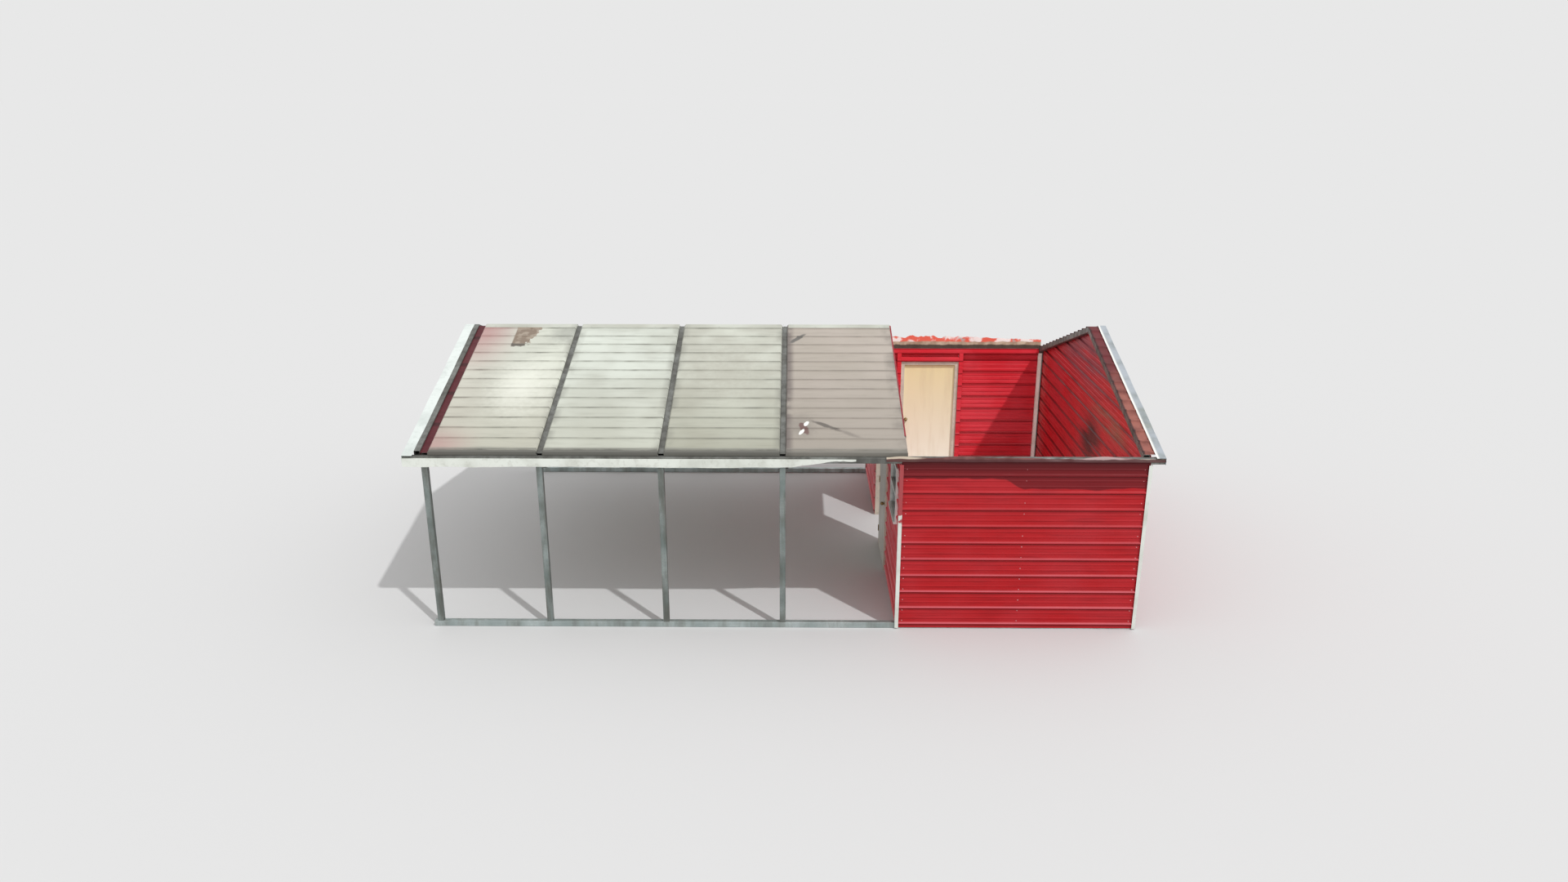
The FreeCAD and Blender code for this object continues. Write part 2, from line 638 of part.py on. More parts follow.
fittings = [door_knob(1, JAMB_FACE), door_knob(-1, JAMB_FACE - LEAF_THICKNESS)]
fittings += [door_hinge(z) for z in HINGE_HEIGHTS]
door_parts = {"frame": door_frame(), "leaf": [door_leaf()], "knobs_and_hinges": fittings}
for part, shapes in door_parts.items():
    nodes[f"back_door_{part}"] = [at_back_door(s) for s in shapes]
    nodes[f"side_door_{part}"] = [at_partition(s, SIDE_DOOR_Y) for s in shapes]

# ---- window --------------------------------------------------------------
half = WINDOW / 2
window_back = WINDOW_FACE - WINDOW_DEPTH
window_top = WINDOW_FOOT + WINDOW
window_mid = (WINDOW_FOOT + window_top) / 2
glass_mid = WINDOW_FACE - WINDOW_DEPTH / 2
rim = box(-half, half, window_back, WINDOW_FACE, WINDOW_FOOT, window_top)
panes = []
for z0, z1 in (
    (WINDOW_FOOT + WINDOW_BAR, window_mid - WINDOW_RAIL / 2),
    (window_mid + WINDOW_RAIL / 2, window_top - WINDOW_BAR),
):
    light = half - WINDOW_BAR
    rim = rim.cut(box(-light, light, window_back, WINDOW_FACE, z0, z1))
    panes.append(box(-light, light, glass_mid - GLASS / 2, glass_mid + GLASS / 2, z0, z1))
sill = box(-half, half, WINDOW_FACE, WINDOW_FACE + SILL_REACH, WINDOW_FOOT, WINDOW_FOOT + SILL_DEPTH)
nodes["window_frame"] = [at_partition(rim.fuse(sill).removeSplitter(), WINDOW_Y)]
nodes["window_glass"] = [at_partition(pane, WINDOW_Y) for pane in panes]

# ---- export --------------------------------------------------------------
os.makedirs("parts", exist_ok=True)
for name, shapes in nodes.items():
    shape = shapes[0] if len(shapes) == 1 else Part.Compound(shapes)
    shape.exportStep(f"parts/{name}.step")
    bounds = shape.BoundBox
    print(name, len(shape.Solids), shape.isValid(), round(bounds.XMin), round(bounds.XMax),
          round(bounds.YMin), round(bounds.YMax), round(bounds.ZMin), round(bounds.ZMax))
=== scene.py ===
# %% [markdown]
# # A steel-tube carport with a sheet-steel office
# The building is a kit: galvanised square tube, ribbed steel sheets screwed to it, and
# folded trims. The frame file already holds every tube, sheet, trim and door at its real
# size. This lesson keeps those shapes and works on what the eye reads next: zinc, baked
# paint, grime, screws, seals, bent trims and the light that shows them.

# %% Load the building
import math

import bmesh
import bpy
from mathutils import Matrix, Vector, noise


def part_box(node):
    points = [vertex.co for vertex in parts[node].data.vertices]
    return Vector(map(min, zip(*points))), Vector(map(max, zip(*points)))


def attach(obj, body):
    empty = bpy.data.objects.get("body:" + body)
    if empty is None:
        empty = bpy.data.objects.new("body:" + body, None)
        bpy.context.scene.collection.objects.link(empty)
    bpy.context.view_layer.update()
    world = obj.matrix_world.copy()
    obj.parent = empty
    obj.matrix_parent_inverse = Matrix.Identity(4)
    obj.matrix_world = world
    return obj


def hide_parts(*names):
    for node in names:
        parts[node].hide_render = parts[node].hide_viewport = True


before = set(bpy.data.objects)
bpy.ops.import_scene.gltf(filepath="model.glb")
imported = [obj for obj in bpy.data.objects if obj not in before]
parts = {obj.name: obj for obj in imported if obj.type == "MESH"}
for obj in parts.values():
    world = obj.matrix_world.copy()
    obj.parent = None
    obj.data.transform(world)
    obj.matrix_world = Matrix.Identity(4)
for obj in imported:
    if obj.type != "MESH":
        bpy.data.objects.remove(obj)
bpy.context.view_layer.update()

# %% [markdown]
# ## Where the ribs and the frames are
# Dirt gathers along ribs and beside bows, and screws follow the posts, so the finishes have
# to know where those are. The places come from the frame. What the frame doesn't say is how
# the sheets are ribbed: one tall rib every nine inches, which such sheets share the world
# over, starting a tube's height above the ground on the walls and just below the ridge.

# %% Measure the frame
MM = 0.001
TUBE = 76.2 * MM
RIB_PITCH = 228.6 * MM
WALL_RIB_START = TUBE
ROOF_RIB_START = 120 * MM
ROOF_PITCH = 4 / 12
SLOPE_COS = math.cos(math.atan(ROOF_PITCH))

bow_xs = [(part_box(f"bow_{i}")[0].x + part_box(f"bow_{i}")[1].x) / 2 for i in range(1, 6)]
bay_length = bow_xs[2] - bow_xs[1]
slope_length = -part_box("roof_front_2")[0].y / SLOPE_COS
rail_low, rail_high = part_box("back_eave_rail")
end_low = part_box("office_end_wall")[0]
print("bows at", [round(x, 3) for x in bow_xs], "slope", round(slope_length, 3))

# %% [markdown]
# ## Three helpers for every finish
# Colours are written as the hex numbers of a paint card, and one function turns them into
# the linear values that light is computed with. The second adds a shader node with its
# settings and links, so that each finish below reads as a list of what it is made of. The
# third starts a material and finds the place on the building in metres, which lets every
# pattern be sized in millimetres.

# %% Colour and node helpers
def linear(card):
    """A paint-card colour such as 'b22c32' as linear red, green, blue, alpha."""
    out = []
    for i in (0, 2, 4):
        c = int(card[i:i + 2], 16) / 255
        out.append(c / 12.92 if c <= 0.04045 else ((c + 0.055) / 1.055) ** 2.4)
    return (*out, 1.0)


def add(tree, kind, inputs=None, out=0, stops=(), **settings):
    """Adds a node and gives one output; an input is a value or the socket that feeds it."""
    made = tree.nodes.new("ShaderNode" + kind)
    for name, value in settings.items():
        setattr(made, name, value)
    for name, value in (inputs or {}).items():
        if isinstance(value, bpy.types.NodeSocket):
            tree.links.new(value, made.inputs[name])
        else:
            made.inputs[name].default_value = value
    for number, (place, height) in enumerate(stops):
        points = made.color_ramp.elements
        point = points[number] if number < len(points) else points.new(place)
        point.position = place
        point.color = (height, height, height, 1.0)
    return made.outputs[out]


def start_finish(name, **surface):
    """A new material: its node tree, its surface shader, and the place in metres."""
    finish = bpy.data.materials.new(name)
    finish.use_nodes = True
    tree = finish.node_tree
    shader = tree.nodes["Principled BSDF"]
    for socket, value in surface.items():
        shader.inputs[socket.replace("_", " ")].default_value = value
    return finish, tree, shader, add(tree, "TexCoord", out="Object")


print("barn red in linear light", [round(v, 3) for v in linear("c81c27")[:3]])

# %% [markdown]
# ## Weather
# Weather never leaves an even surface. Clouds a metre or so wide carry the fading, runs a
# few centimetres wide carry the dirt that rain drags down, and single marks carry the
# accidents. All of them are noise at a real size: a run is noise squeezed across the way
# the water goes, and a mark is an ellipse with its rim torn by noise.

# %% Clouds, runs, marks and bands
def clouds(tree, where, size, low=0.35, high=0.65, detail=3.0):
    """Soft patches about size metres wide, from 0 to 1."""
    cloud = add(tree, "TexNoise", {"Vector": where, "Scale": 1 / size, "Detail": detail})
    return add(tree, "MapRange", {0: cloud, 1: low, 2: high}, interpolation_type="SMOOTHSTEP")


def runs(tree, where, widths, low=0.45, high=0.7):
    """Runs of dirt: widths is the size of one along x, y and z in metres."""
    squeezed = add(tree, "Mapping", {"Vector": where, "Scale": [1 / w for w in widths]})
    return clouds(tree, squeezed, 1.0, low, high, 4.0)


def mark(tree, where, centre, half, turn=0.0, ragged=0.6, soft=0.3):
    """One mark, 1 inside: an ellipse seen from above, at centre, of that half size."""
    local = add(tree, "Mapping", {
        "Vector": where, "Location": (*centre, 0), "Rotation": (0, 0, turn),
        "Scale": (*half, 50.0)}, vector_type="TEXTURE")
    reach = add(tree, "VectorMath", {0: local}, out="Value", operation="LENGTH")
    torn = add(tree, "TexNoise", {"Vector": where, "Scale": 16.0, "Detail": 5.0})
    reach = add(tree, "Math", {0: torn, 1: 2 * ragged, 2: reach}, operation="MULTIPLY_ADD")
    return add(tree, "MapRange", {0: reach, 1: 1 + ragged, 2: 1 + ragged - soft, 3: 0, 4: 1},
               interpolation_type="SMOOTHSTEP")


def band(tree, value, start, stop, soft=0.02):
    """1 between start and stop, with edges soft metres wide."""
    away = add(tree, "Math", {0: value, 1: (start + stop) / 2}, operation="SUBTRACT")
    away = add(tree, "Math", {0: away}, operation="ABSOLUTE")
    reach = (stop - start) / 2
    return add(tree, "MapRange", {0: away, 1: reach, 2: reach + soft, 3: 1, 4: 0},
               interpolation_type="SMOOTHSTEP")


# %% [markdown]
# ## Layers
# A finish is built up as a painter does it: a ground colour first, then each layer laid
# through masks that say where it takes. The place from rib to rib is such a mask, because
# ribs catch the dirt. At the end one function joins the colour, a gloss that falls where
# the surface is worn, and the dents, so that all three tell the same story.

# %% Laying colours and closing a finish
def lay(tree, under, card, amount, *shares):
    """Lays a paint-card colour over what is there, as far as its masks and shares allow."""
    for share in shares:
        amount = add(tree, "Math", {0: amount, 1: share}, operation="MULTIPLY")
    top = linear(card) if isinstance(card, str) else card
    return add(tree, "Mix", {0: amount, 6: under, 7: top}, out=2, data_type="RGBA")


def rib_place(tree, distance, start):
    """0 to 1 from the middle of one rib to the middle of the next."""
    shifted = add(tree, "Math", {0: distance, 1: start}, operation="SUBTRACT")
    ribs = add(tree, "Math", {0: shifted, 1: RIB_PITCH}, operation="DIVIDE")
    return add(tree, "Math", {0: ribs}, operation="FRACT")


def dress(tree, shader, colour, wear, smooth, dull, dents, depth):
    """Joins colour, gloss (smooth to dull as wear goes 0 to 1) and dents in metres."""
    tree.links.new(colour, shader.inputs["Base Color"])
    gloss = add(tree, "MapRange", {0: wear, 3: smooth, 4: dull})
    tree.links.new(gloss, shader.inputs["Roughness"])
    relief = add(tree, "Bump", {"Height": dents, "Distance": depth, "Strength": 1.0})
    tree.links.new(relief, shader.inputs["Normal"])


print("ribs every", round(RIB_PITCH / MM, 1), "mm")

# %% [markdown]
# ## Galvanised tube
# Hot-dip zinc is a dull, cold grey metal with a faint spangle: flat crystals a centimetre
# or so across, each a little lighter or darker. It takes its colour from what it mirrors,
# blurred by a roughness of about a half, and keeps the default IOR because it is a metal.
# Outdoors it turns chalky, then dark where damp sits, so the bows under the sheets are a
# dirtier version of the same finish as the posts. Voronoi cells make the crystals.

# %% Galvanised tube finish
SPANGLE = 14 * MM


def galvanised(name, bright, dull, soot, soot_share):
    """Hot-dip galvanised steel: spangled, chalky, with sooty runs."""
    finish, tree, shader, where = start_finish(name, Metallic=0.7)
    crystal = add(tree, "TexVoronoi", {"Vector": where, "Scale": 1 / SPANGLE}, out="Color")
    crystal = add(tree, "SeparateColor", {0: crystal})
    colour = add(tree, "Mix", {0: clouds(tree, where, 0.5, detail=5.0), 6: linear(bright),
                               7: linear(dull)}, out=2, data_type="RGBA")
    colour = lay(tree, colour, dull, crystal, 0.35)
    dirt = runs(tree, where, (0.10, 0.10, 0.45), 0.5 - soot_share / 3, 0.72)
    colour = lay(tree, colour, soot, dirt, soot_share)
    dress(tree, shader, colour, dirt, 0.42, 0.7, crystal, 0.15 * MM)
    return finish


zinc_posts = galvanised("galvanised_posts", "a3acaa", "7a8582", "5b5348", 0.6)
# the base rails get a lighter copy of the zinc for their lit front faces: painted light
zinc_base_lit = galvanised("galvanised_base_rails_lit", "c3cdcc", "a2aead", "7b776c", 0.4)
zinc_bows = galvanised("galvanised_bows", "929490", "74746f", "4b4a46", 0.5)
print("crystals of", SPANGLE * 1000, "mm")

# %% [markdown]
# ## Baked roof paint
# The roof sheets are zinc-coated steel with a baked polyester paint: smooth, satin, a shade off
# white. The paint hardly varies. Grime lies in faint runs down the slope, and the paint goes
# warmer towards the eave; a thin grey line along each rib, a wider band beside the bows and a
# dark band at the eave are painted shade. Two numbers, the distance down the slope and the place
# across the bay, put each where it lies on a sheet. Thin sheet also dimples between its ribs,
# which a gentle bump of a millimetre and a half shows.

# %% Roof finish
LINE_SWAY = 22 * MM
EAVE_SHADE_SWAY = 50 * MM


def roof_paint(name, fresh, worn, grime, low, marks=None, rib_shade_share=0.95, eave_shade_share=1.0):
    """Baked polyester paint on a roof sheet; marks adds what one bay has alone."""
    finish, tree, shader, where = start_finish(name, IOR=1.5)
    x = add(tree, "SeparateXYZ", {0: where}, out="X")
    y = add(tree, "SeparateXYZ", {0: where}, out="Y")
    down = add(tree, "Math", {0: y}, operation="ABSOLUTE")
    down = add(tree, "Math", {0: down, 1: SLOPE_COS}, operation="DIVIDE")
    colour = add(tree, "Mix", {0: clouds(tree, where, 0.9), 6: linear(fresh),
                               7: linear(worn)}, out=2, data_type="RGBA")
    fall = add(tree, "MapRange", {0: down, 1: 0.3 * slope_length, 2: slope_length})
    colour = lay(tree, colour, low, fall, 0.8)
    dirt = runs(tree, where, (0.5, 0.07, 0.07), 0.48, 0.75)
    colour = lay(tree, colour, grime, dirt, 0.16)
    sway = add(tree, "TexNoise", {"Vector": where, "Scale": 2.6, "Detail": 4.0})
    swayed = add(tree, "Math", {0: sway, 1: LINE_SWAY, 2: down}, operation="MULTIPLY_ADD")
    rib = rib_place(tree, swayed, ROOF_RIB_START + LINE_SWAY / 2)
    # from rib to rib: painted shade beside the rib, clean across the flat
    rib_shade_line = add(tree, "ValToRGB", {0: rib}, stops=(
        (0.0, 1.0), (0.03, 0.9), (0.065, 0.14), (0.2, 0.0), (0.86, 0.0), (0.955, 0.2),
        (0.975, 1.0)))
    faint = clouds(tree, where, 0.4, 0.3, 0.6)
    faint = add(tree, "MapRange", {0: faint, 3: 0.3, 4: rib_shade_share})
    colour = lay(tree, colour, grime, rib_shade_line, faint)
    bay = add(tree, "Math", {0: x, 1: bow_xs[1]}, operation="SUBTRACT")
    bay = add(tree, "Math", {0: bay, 1: bay_length}, operation="DIVIDE")
    bay = add(tree, "Math", {0: bay}, operation="FRACT")
    # from bow to bow: painted shade at both ends of a bay
    bow_shade = add(tree, "ValToRGB", {0: bay}, stops=(
        (0.0, 1.0), (0.04, 0.7), (0.1, 0.0), (0.91, 0.0), (0.965, 0.7)))
    colour = lay(tree, colour, grime, bow_shade, clouds(tree, where, 0.3), 0.75)
    if marks:
        colour = marks(tree, where, x, down, colour)
    ragged = add(tree, "Math", {0: sway, 1: EAVE_SHADE_SWAY, 2: down}, operation="MULTIPLY_ADD")
    eave = slope_length + EAVE_SHADE_SWAY / 2
    # two dark bands along the eave: painted shade at the eave
    for card, share, start, stop in (("8a8a82", 0.6, 0.1, 0.085), ("62615b", 0.9, 0.05, 0.035)):
        hem = add(tree, "MapRange", {0: ragged, 1: eave - start, 2: eave - stop})
        colour = lay(tree, colour, card, hem, share * eave_shade_share)
    dress(tree, shader, colour, dirt, 0.42, 0.62, clouds(tree, where, 0.3), 1.5 * MM)
    return finish


# %% [markdown]
# ## What each bay has alone
# The open end of the first bay takes a painted red bounce light from the gable, and high up a
# scab of paint has lifted: straight along the left, ragged along the right, with a dark lower
# rim. The third bay is duller in the middle. The last bay is a beige replacement with painted
# shade along its left edge, grey streaks high up and by the eave, and a torn, dusty corner with
# painted shade round it.

# %% Marks on the bays
RED_BOUNCE_LENGTH = 3.2


def first_bay_marks(tree, where, x, down, colour):
    """Painted red bounce light from the gable at the open end, a grey patch by the bow, and the
    scab of lifted paint.
    """
    start = bow_xs[0]
    # painted red bounce light from the gable, near the open end, high and low on the slope
    red_bounce_near_end = add(tree, "MapRange", {0: x, 1: start + 0.05, 2: start + 0.75, 3: 1, 4: 0},
                   interpolation_type="SMOOTHSTEP")
    high = add(tree, "Math", {0: down, 1: RED_BOUNCE_LENGTH}, operation="DIVIDE")
    high = add(tree, "ValToRGB", {0: high}, stops=(
        (0.1, 1.0), (0.42, 0.12), (0.8, 0.1), (0.93, 0.8)))
    colour = lay(tree, colour, "b0807f", red_bounce_near_end, high, 0.8)
    clean = mark(tree, where, (start + 0.9, -1.6), (0.62, 0.95), 0.0, 0.3, 1.0)
    colour = lay(tree, colour, "f2f3e8", clean, 0.5)
    soot = mark(tree, where, (start + 1.28, -0.25), (0.35, 0.45), 0.0, 0.3, 0.9)
    colour = lay(tree, colour, "8e9088", soot, 0.6)
    # the scab: a straight left edge, and a leaning right edge, top and foot torn by noise
    jagged = add(tree, "TexNoise", {"Vector": where, "Scale": 13.0, "Detail": 4.0})
    lean = add(tree, "Math", {0: down, 1: 0.27, 2: x}, operation="MULTIPLY_ADD")
    lean = add(tree, "Math", {0: jagged, 1: 0.30, 2: lean}, operation="MULTIPLY_ADD")
    right = add(tree, "MapRange", {0: lean, 1: start + 1.085, 2: start + 1.07, 3: 0, 4: 1})
    left = add(tree, "MapRange", {0: x, 1: start + 0.535, 2: start + 0.55})
    deep = add(tree, "Math", {0: jagged, 1: 0.10, 2: down}, operation="MULTIPLY_ADD")
    scab = band(tree, deep, 0.07, 0.67, 0.012)
    brown = add(tree, "Mix", {0: clouds(tree, where, 0.10, 0.4, 0.6), 6: linear("a29485"),
                              7: linear("857566")}, out=2, data_type="RGBA")
    colour = lay(tree, colour, brown, left, right, scab)
    rim = band(tree, deep, 0.62, 0.68, 0.02)
    return lay(tree, colour, "67625b", left, right, rim, 0.9)


def third_bay_marks(tree, where, x, down, colour):
    """A dull, shaded middle."""
    middle = mark(tree, where, (bow_xs[2] + 0.75, -1.25), (0.75, 0.9), 0.0, 0.4, 1.0)
    return lay(tree, colour, "a8a598", middle, 0.6)


def last_bay_marks(tree, where, x, down, colour):
    """Painted shade along the left edge, grey streaks, and the torn corner with its bare white
    core and painted shade round it.
    """
    start = bow_xs[3]
    # the darker left edge beside the bow is painted shade
    edge = add(tree, "MapRange", {0: x, 1: start + 0.06, 2: start + 0.16, 3: 1, 4: 0},
               interpolation_type="SMOOTHSTEP")
    colour = lay(tree, colour, "6e6461", edge, clouds(tree, where, 0.35, 0.3, 0.5), 0.8)
    # one streak high up; then by the eave painted shade, two long streaks, dust and the white
    # core
    for card, share, centre, half, turn, soft in (
        ("66635f", 0.95, (start + 0.19, -0.38), (0.20, 0.045), 0.83, 0.4),
        ("8b847c", 0.6, (start + 0.24, -2.46), (0.24, 0.34), 0.2, 0.8),
        ("615b55", 0.9, (start + 0.55, -2.44), (0.30, 0.045), -0.52, 0.6),
        ("7d766f", 0.6, (start + 0.85, -2.61), (0.24, 0.050), -0.52, 0.8),
        ("6d504c", 0.9, (start + 0.27, -2.50), (0.055, 0.14), 0.35, 0.3),
        ("f2f2ee", 1.0, (start + 0.30, -2.40), (0.030, 0.06), -0.45, 0.2),
        ("f2f2ee", 1.0, (start + 0.24, -2.57), (0.026, 0.07), -0.50, 0.2),
    ):
        spot = mark(tree, where, centre, half, turn, 0.35, soft)
        colour = lay(tree, colour, card, spot, share)
    return colour


roof_first = roof_paint("cream_paint_first_bay", "d8dbce", "c8cabe", "77766d", "adaa9b",
                        first_bay_marks)
roof_second = roof_paint("cream_paint_second_bay", "d5dad0", "bfc2b7", "7c7c73", "b8b9ab")
roof_third = roof_paint("cream_paint_third_bay", "d0d3c7", "b9b9ad", "7c7c73", "9c9b8a",
                        third_bay_marks)
roof_last = roof_paint("beige_paint_last_bay", "b6aca2", "aea59a", "7c756e", "9c948a",
                       last_bay_marks, rib_shade_share=0.7, eave_shade_share=0.6)
roof_rear = roof_paint("cream_paint_back_slope", "cacdc2", "b7b8ac", "7c7c73", "a9a899")
print("materials so far:", len(bpy.data.materials))

# %% [markdown]
# ## Red wall paint
# The walls wear the same baked paint in barn red. The crest of each rib gets a painted highlight
# towards pink, stronger low down, and painted shade with dirt lies under each rib. A ragged
# strip under the front eave is painted dark: a painted shadow of the eave. The height on the
# wall, counted in ribs, says where on a rib a point is.

# %% Red wall finish
def wall_paint(name, fresh, faded, crest_highlight_card, deep, marks=None):
    """Baked polyester paint on a wall sheet; marks adds what one wall has alone."""
    finish, tree, shader, where = start_finish(name, IOR=1.5, Specular_IOR_Level=0.25)
    height = add(tree, "SeparateXYZ", {0: where}, out="Z")
    colour = add(tree, "Mix", {0: clouds(tree, where, 0.8), 6: linear(fresh),
                               7: linear(faded)}, out=2, data_type="RGBA")
    dirt = runs(tree, where, (0.6, 0.6, 0.05), 0.45, 0.75)
    colour = lay(tree, colour, deep, dirt, 0.3)
    rib = rib_place(tree, height, WALL_RIB_START)
    # from rib to rib: a painted highlight on the crest, and painted shade with dirt under the
    # next rib up
    painted_crest_highlight = add(tree, "ValToRGB", {0: rib}, stops=(
        (0.0, 0.7), (0.03, 1.0), (0.075, 0.1), (0.12, 0.0), (0.99, 0.0)))
    highlight_low_down = add(tree, "MapRange", {0: height, 1: 0.5, 2: 1.7, 3: 0.85, 4: 0.1})
    colour = lay(tree, colour, crest_highlight_card, painted_crest_highlight, highlight_low_down)
    under = add(tree, "ValToRGB", {0: rib}, stops=(
        (0.84, 0.0), (0.89, 0.9), (0.955, 1.0), (0.985, 0.0)))
    colour = lay(tree, colour, deep, under, 0.75)
    # two small ribs part each flat in three, with a faint line of painted shade under each
    third = add(tree, "Math", {0: rib, 1: 3.0}, operation="MULTIPLY")
    third = add(tree, "Math", {0: third}, operation="FRACT")
    small_rib_shade = add(tree, "ValToRGB", {0: third}, stops=((0.82, 0.0), (0.9, 1.0), (0.97, 0.0)))
    colour = lay(tree, colour, deep, small_rib_shade, 0.22)
    if marks:
        colour = marks(tree, where, height, colour)
    dress(tree, shader, colour, dirt, 0.38, 0.55, clouds(tree, where, 0.25), 1.2 * MM)
    return finish


def painted_eave_shadow(tree, where, height, colour):
    """Painted shadow of the front eave: a dark strip, taller towards the far end, wavy below,
    darkest at the top.
    """
    x = add(tree, "SeparateXYZ", {0: where}, out="X")
    taller = add(tree, "MapRange", {0: x, 1: 2.75, 2: 3.05, 3: 0.0, 4: 0.13},
                 interpolation_type="SMOOTHSTEP")
    wave = add(tree, "TexNoise", {"Vector": where, "Scale": 2.2, "Detail": 2.0})
    level = add(tree, "Math", {0: wave, 1: 0.12, 2: height}, operation="MULTIPLY_ADD")
    level = add(tree, "Math", {0: level, 1: taller})
    strip = add(tree, "MapRange", {0: level, 1: 2.13, 2: 2.148}, interpolation_type="SMOOTHSTEP")
    colour = lay(tree, colour, "6a1018", strip, 0.85)
    top = add(tree, "MapRange", {0: height, 1: 2.12, 2: 2.28}, interpolation_type="SMOOTHSTEP")
    return lay(tree, colour, "3f0a0e", top, 0.65)


def damp_gable(tree, where, height, colour):
    """Bloom on the gable's inner face: greyish high up, brown low in the middle."""
    facing = add(tree, "SeparateXYZ", {0: add(tree, "NewGeometry", out="Normal")}, out="X")
    inner = add(tree, "MapRange", {0: facing, 1: 0.2, 2: -0.2})
    for card, share, centre, half in (
        ("83454e", 0.75, (0.35, 2.85), (1.9, 0.60)),
        ("4a1f22", 0.95, (-0.35, 1.75), (0.8, 0.50)),
        ("8a5a48", 0.85, (-1.2, 2.22), (1.2, 0.22)),
    ):
        local = add(tree, "Mapping", {
            "Vector": where, "Location": (end_low.x, *centre), "Scale": (1.0, *half)},
            vector_type="TEXTURE")
        reach = add(tree, "VectorMath", {0: local}, out="Value", operation="LENGTH")
        bloom = add(tree, "MapRange", {0: reach, 1: 1.0, 2: 0.3, 3: 0, 4: 1},
                    interpolation_type="SMOOTHSTEP")
        streaky = runs(tree, where, (1.0, 0.9, 0.12), 0.3, 0.6)
        colour = lay(tree, colour, card, bloom, streaky, inner, share)
    return colour


# the back walls' red is a brighter, pinker copy of the front's and the gable's a brighter one:
# painted light that makes up for how those faces are lit
red_front = wall_paint("red_paint_front", "b3141c", "b5222a", "d4707c", "63060c",
                       painted_eave_shadow)
red_wall_brightened = wall_paint("red_paint_walls_brightened", "d62a36", "de3e4a", "e87a82", "7c0c14")
red_gable_brightened = wall_paint("red_paint_gable_brightened", "c81c27", "c42c36", "c4505a", "52080c",
                       damp_gable)
# the open end's gable gets a dark copy of the red: painted shade
red_shaded_open_end = wall_paint("red_paint_open_end_shaded", "551c24", "5e262c", "6d3c40", "331215")
print("materials so far:", len(bpy.data.materials))

# %% [markdown]
# ## White trims and doors
# Folded trims are the same painted steel in white, chalky, with grime at the hems. Door
# leaves are flat steel skins in satin enamel, tanner at the top and whiter where hands and
# rain wash them. One finish in different colours serves every trim, frame and screw head,
# because all of them are painted steel that weathers alike.

# %% Trim and door finishes
def trim_paint(name, fresh, grime, share, size=0.35, low=0.4):
    """Baked paint on folded trim, with grime in patches of that size."""
    finish, tree, shader, where = start_finish(name, IOR=1.5)
    dirt = clouds(tree, where, size, low, 0.75, 6.0)
    colour = lay(tree, linear(fresh), grime, dirt, share)
    fine = clouds(tree, where, size / 6, 0.5, 0.7, 3.0)
    colour = lay(tree, colour, grime, fine, share / 2)
    dress(tree, shader, colour, dirt, 0.45, 0.65, clouds(tree, where, 0.12), 0.8 * MM)
    return finish


def leaf_paint(name, top, bottom, grime):
    """Satin enamel on a door skin, from one shade at the top to another below."""
    finish, tree, shader, where = start_finish(name, IOR=1.5)
    low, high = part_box("back_door_leaf")
    height = add(tree, "SeparateXYZ", {0: where}, out="Z")
    share = add(tree, "MapRange", {0: height, 1: low.z, 2: high.z})
    colour = add(tree, "Mix", {0: share, 6: linear(bottom), 7: linear(top)}, out=2,
                 data_type="RGBA")
    dirt = runs(tree, where, (0.12, 0.12, 0.9), 0.45, 0.8)
    colour = lay(tree, colour, grime, dirt, 0.3)
    dress(tree, shader, colour, dirt, 0.4, 0.55, clouds(tree, where, 0.3), 0.5 * MM)
    return finish


white_trim = trim_paint("white_paint_trim", "e4e8e0", "a5a598", 0.5)
white_rake = trim_paint("white_paint_rake", "dfe6e2", "a9b0ac", 0.4)
# the inside corner angle: a whiter copy of the trim, lifted to make up for the shade it stands
# in: painted light
white_angle_lifted = trim_paint("white_paint_angle_lifted", "fffff6", "c9bfa6", 0.4)
jamb_paint = trim_paint("cream_paint_door_frame", "d6cdbd", "97907f", 0.6)
window_white = trim_paint("white_paint_window", "dfe0dc", "a5a49b", 0.5)
red_edge = trim_paint("red_paint_edge_strip", "9a2833", "6b2228", 0.7)
screw_paint = trim_paint("painted_screw_heads", "cf8f92", "8c4a4c", 0.5, 0.1)
white_screw = trim_paint("white_screw_heads", "c9ccc6", "8d8d86", 0.5, 0.1)
back_leaf_paint = leaf_paint("cream_paint_back_door", "efe0ac", "fffff0", "d3c09a")
# the side door is white paint darkened to grey: painted shade
side_leaf_shaded = leaf_paint("white_paint_side_door_shaded", "b9b6ac", "cfcdc4", "8e8b82")
print("materials so far:", len(bpy.data.materials))

# %% [markdown]
# ## The office end's rake, the verge and the corners
# Three edges weather in a way of their own. The office end's rake is grey with mildew, with a
# painted highlight in white along its inner fold. The verge strip beside it is deep red near the
# ridge and scoured to brown below, with a painted shadow along its inner edge. The corner trims
# are white, but red still hangs ragged on the top of the office's front one. Each is baked paint
# again, with masks that read the place.

# %% Rake, verge and corner finishes
def rake_finish():
    """The office end's rake: grey and mildewed, with a painted highlight in white along its
    inner fold.
    """
    finish, tree, shader, where = start_finish("grey_paint_rake", IOR=1.5)
    x = add(tree, "SeparateXYZ", {0: where}, out="X")
    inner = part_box("rake_trim_office_end")[0].x
    fold = add(tree, "MapRange", {0: x, 1: inner + 0.045, 2: inner + 0.02})
    dirt = clouds(tree, where, 0.28, 0.4, 0.7, 6.0)
    colour = lay(tree, linear("aab1b8"), "838a88", dirt, 0.8)
    mildew = clouds(tree, where, 0.5, 0.55, 0.7)
    colour = lay(tree, colour, "c9c9a6", mildew, 0.5)
    # the white along the inner fold is a painted highlight
    colour = lay(tree, colour, "f3f4ee", fold, 0.95)
    dress(tree, shader, colour, dirt, 0.5, 0.7, clouds(tree, where, 0.1), 1.0 * MM)
    return finish


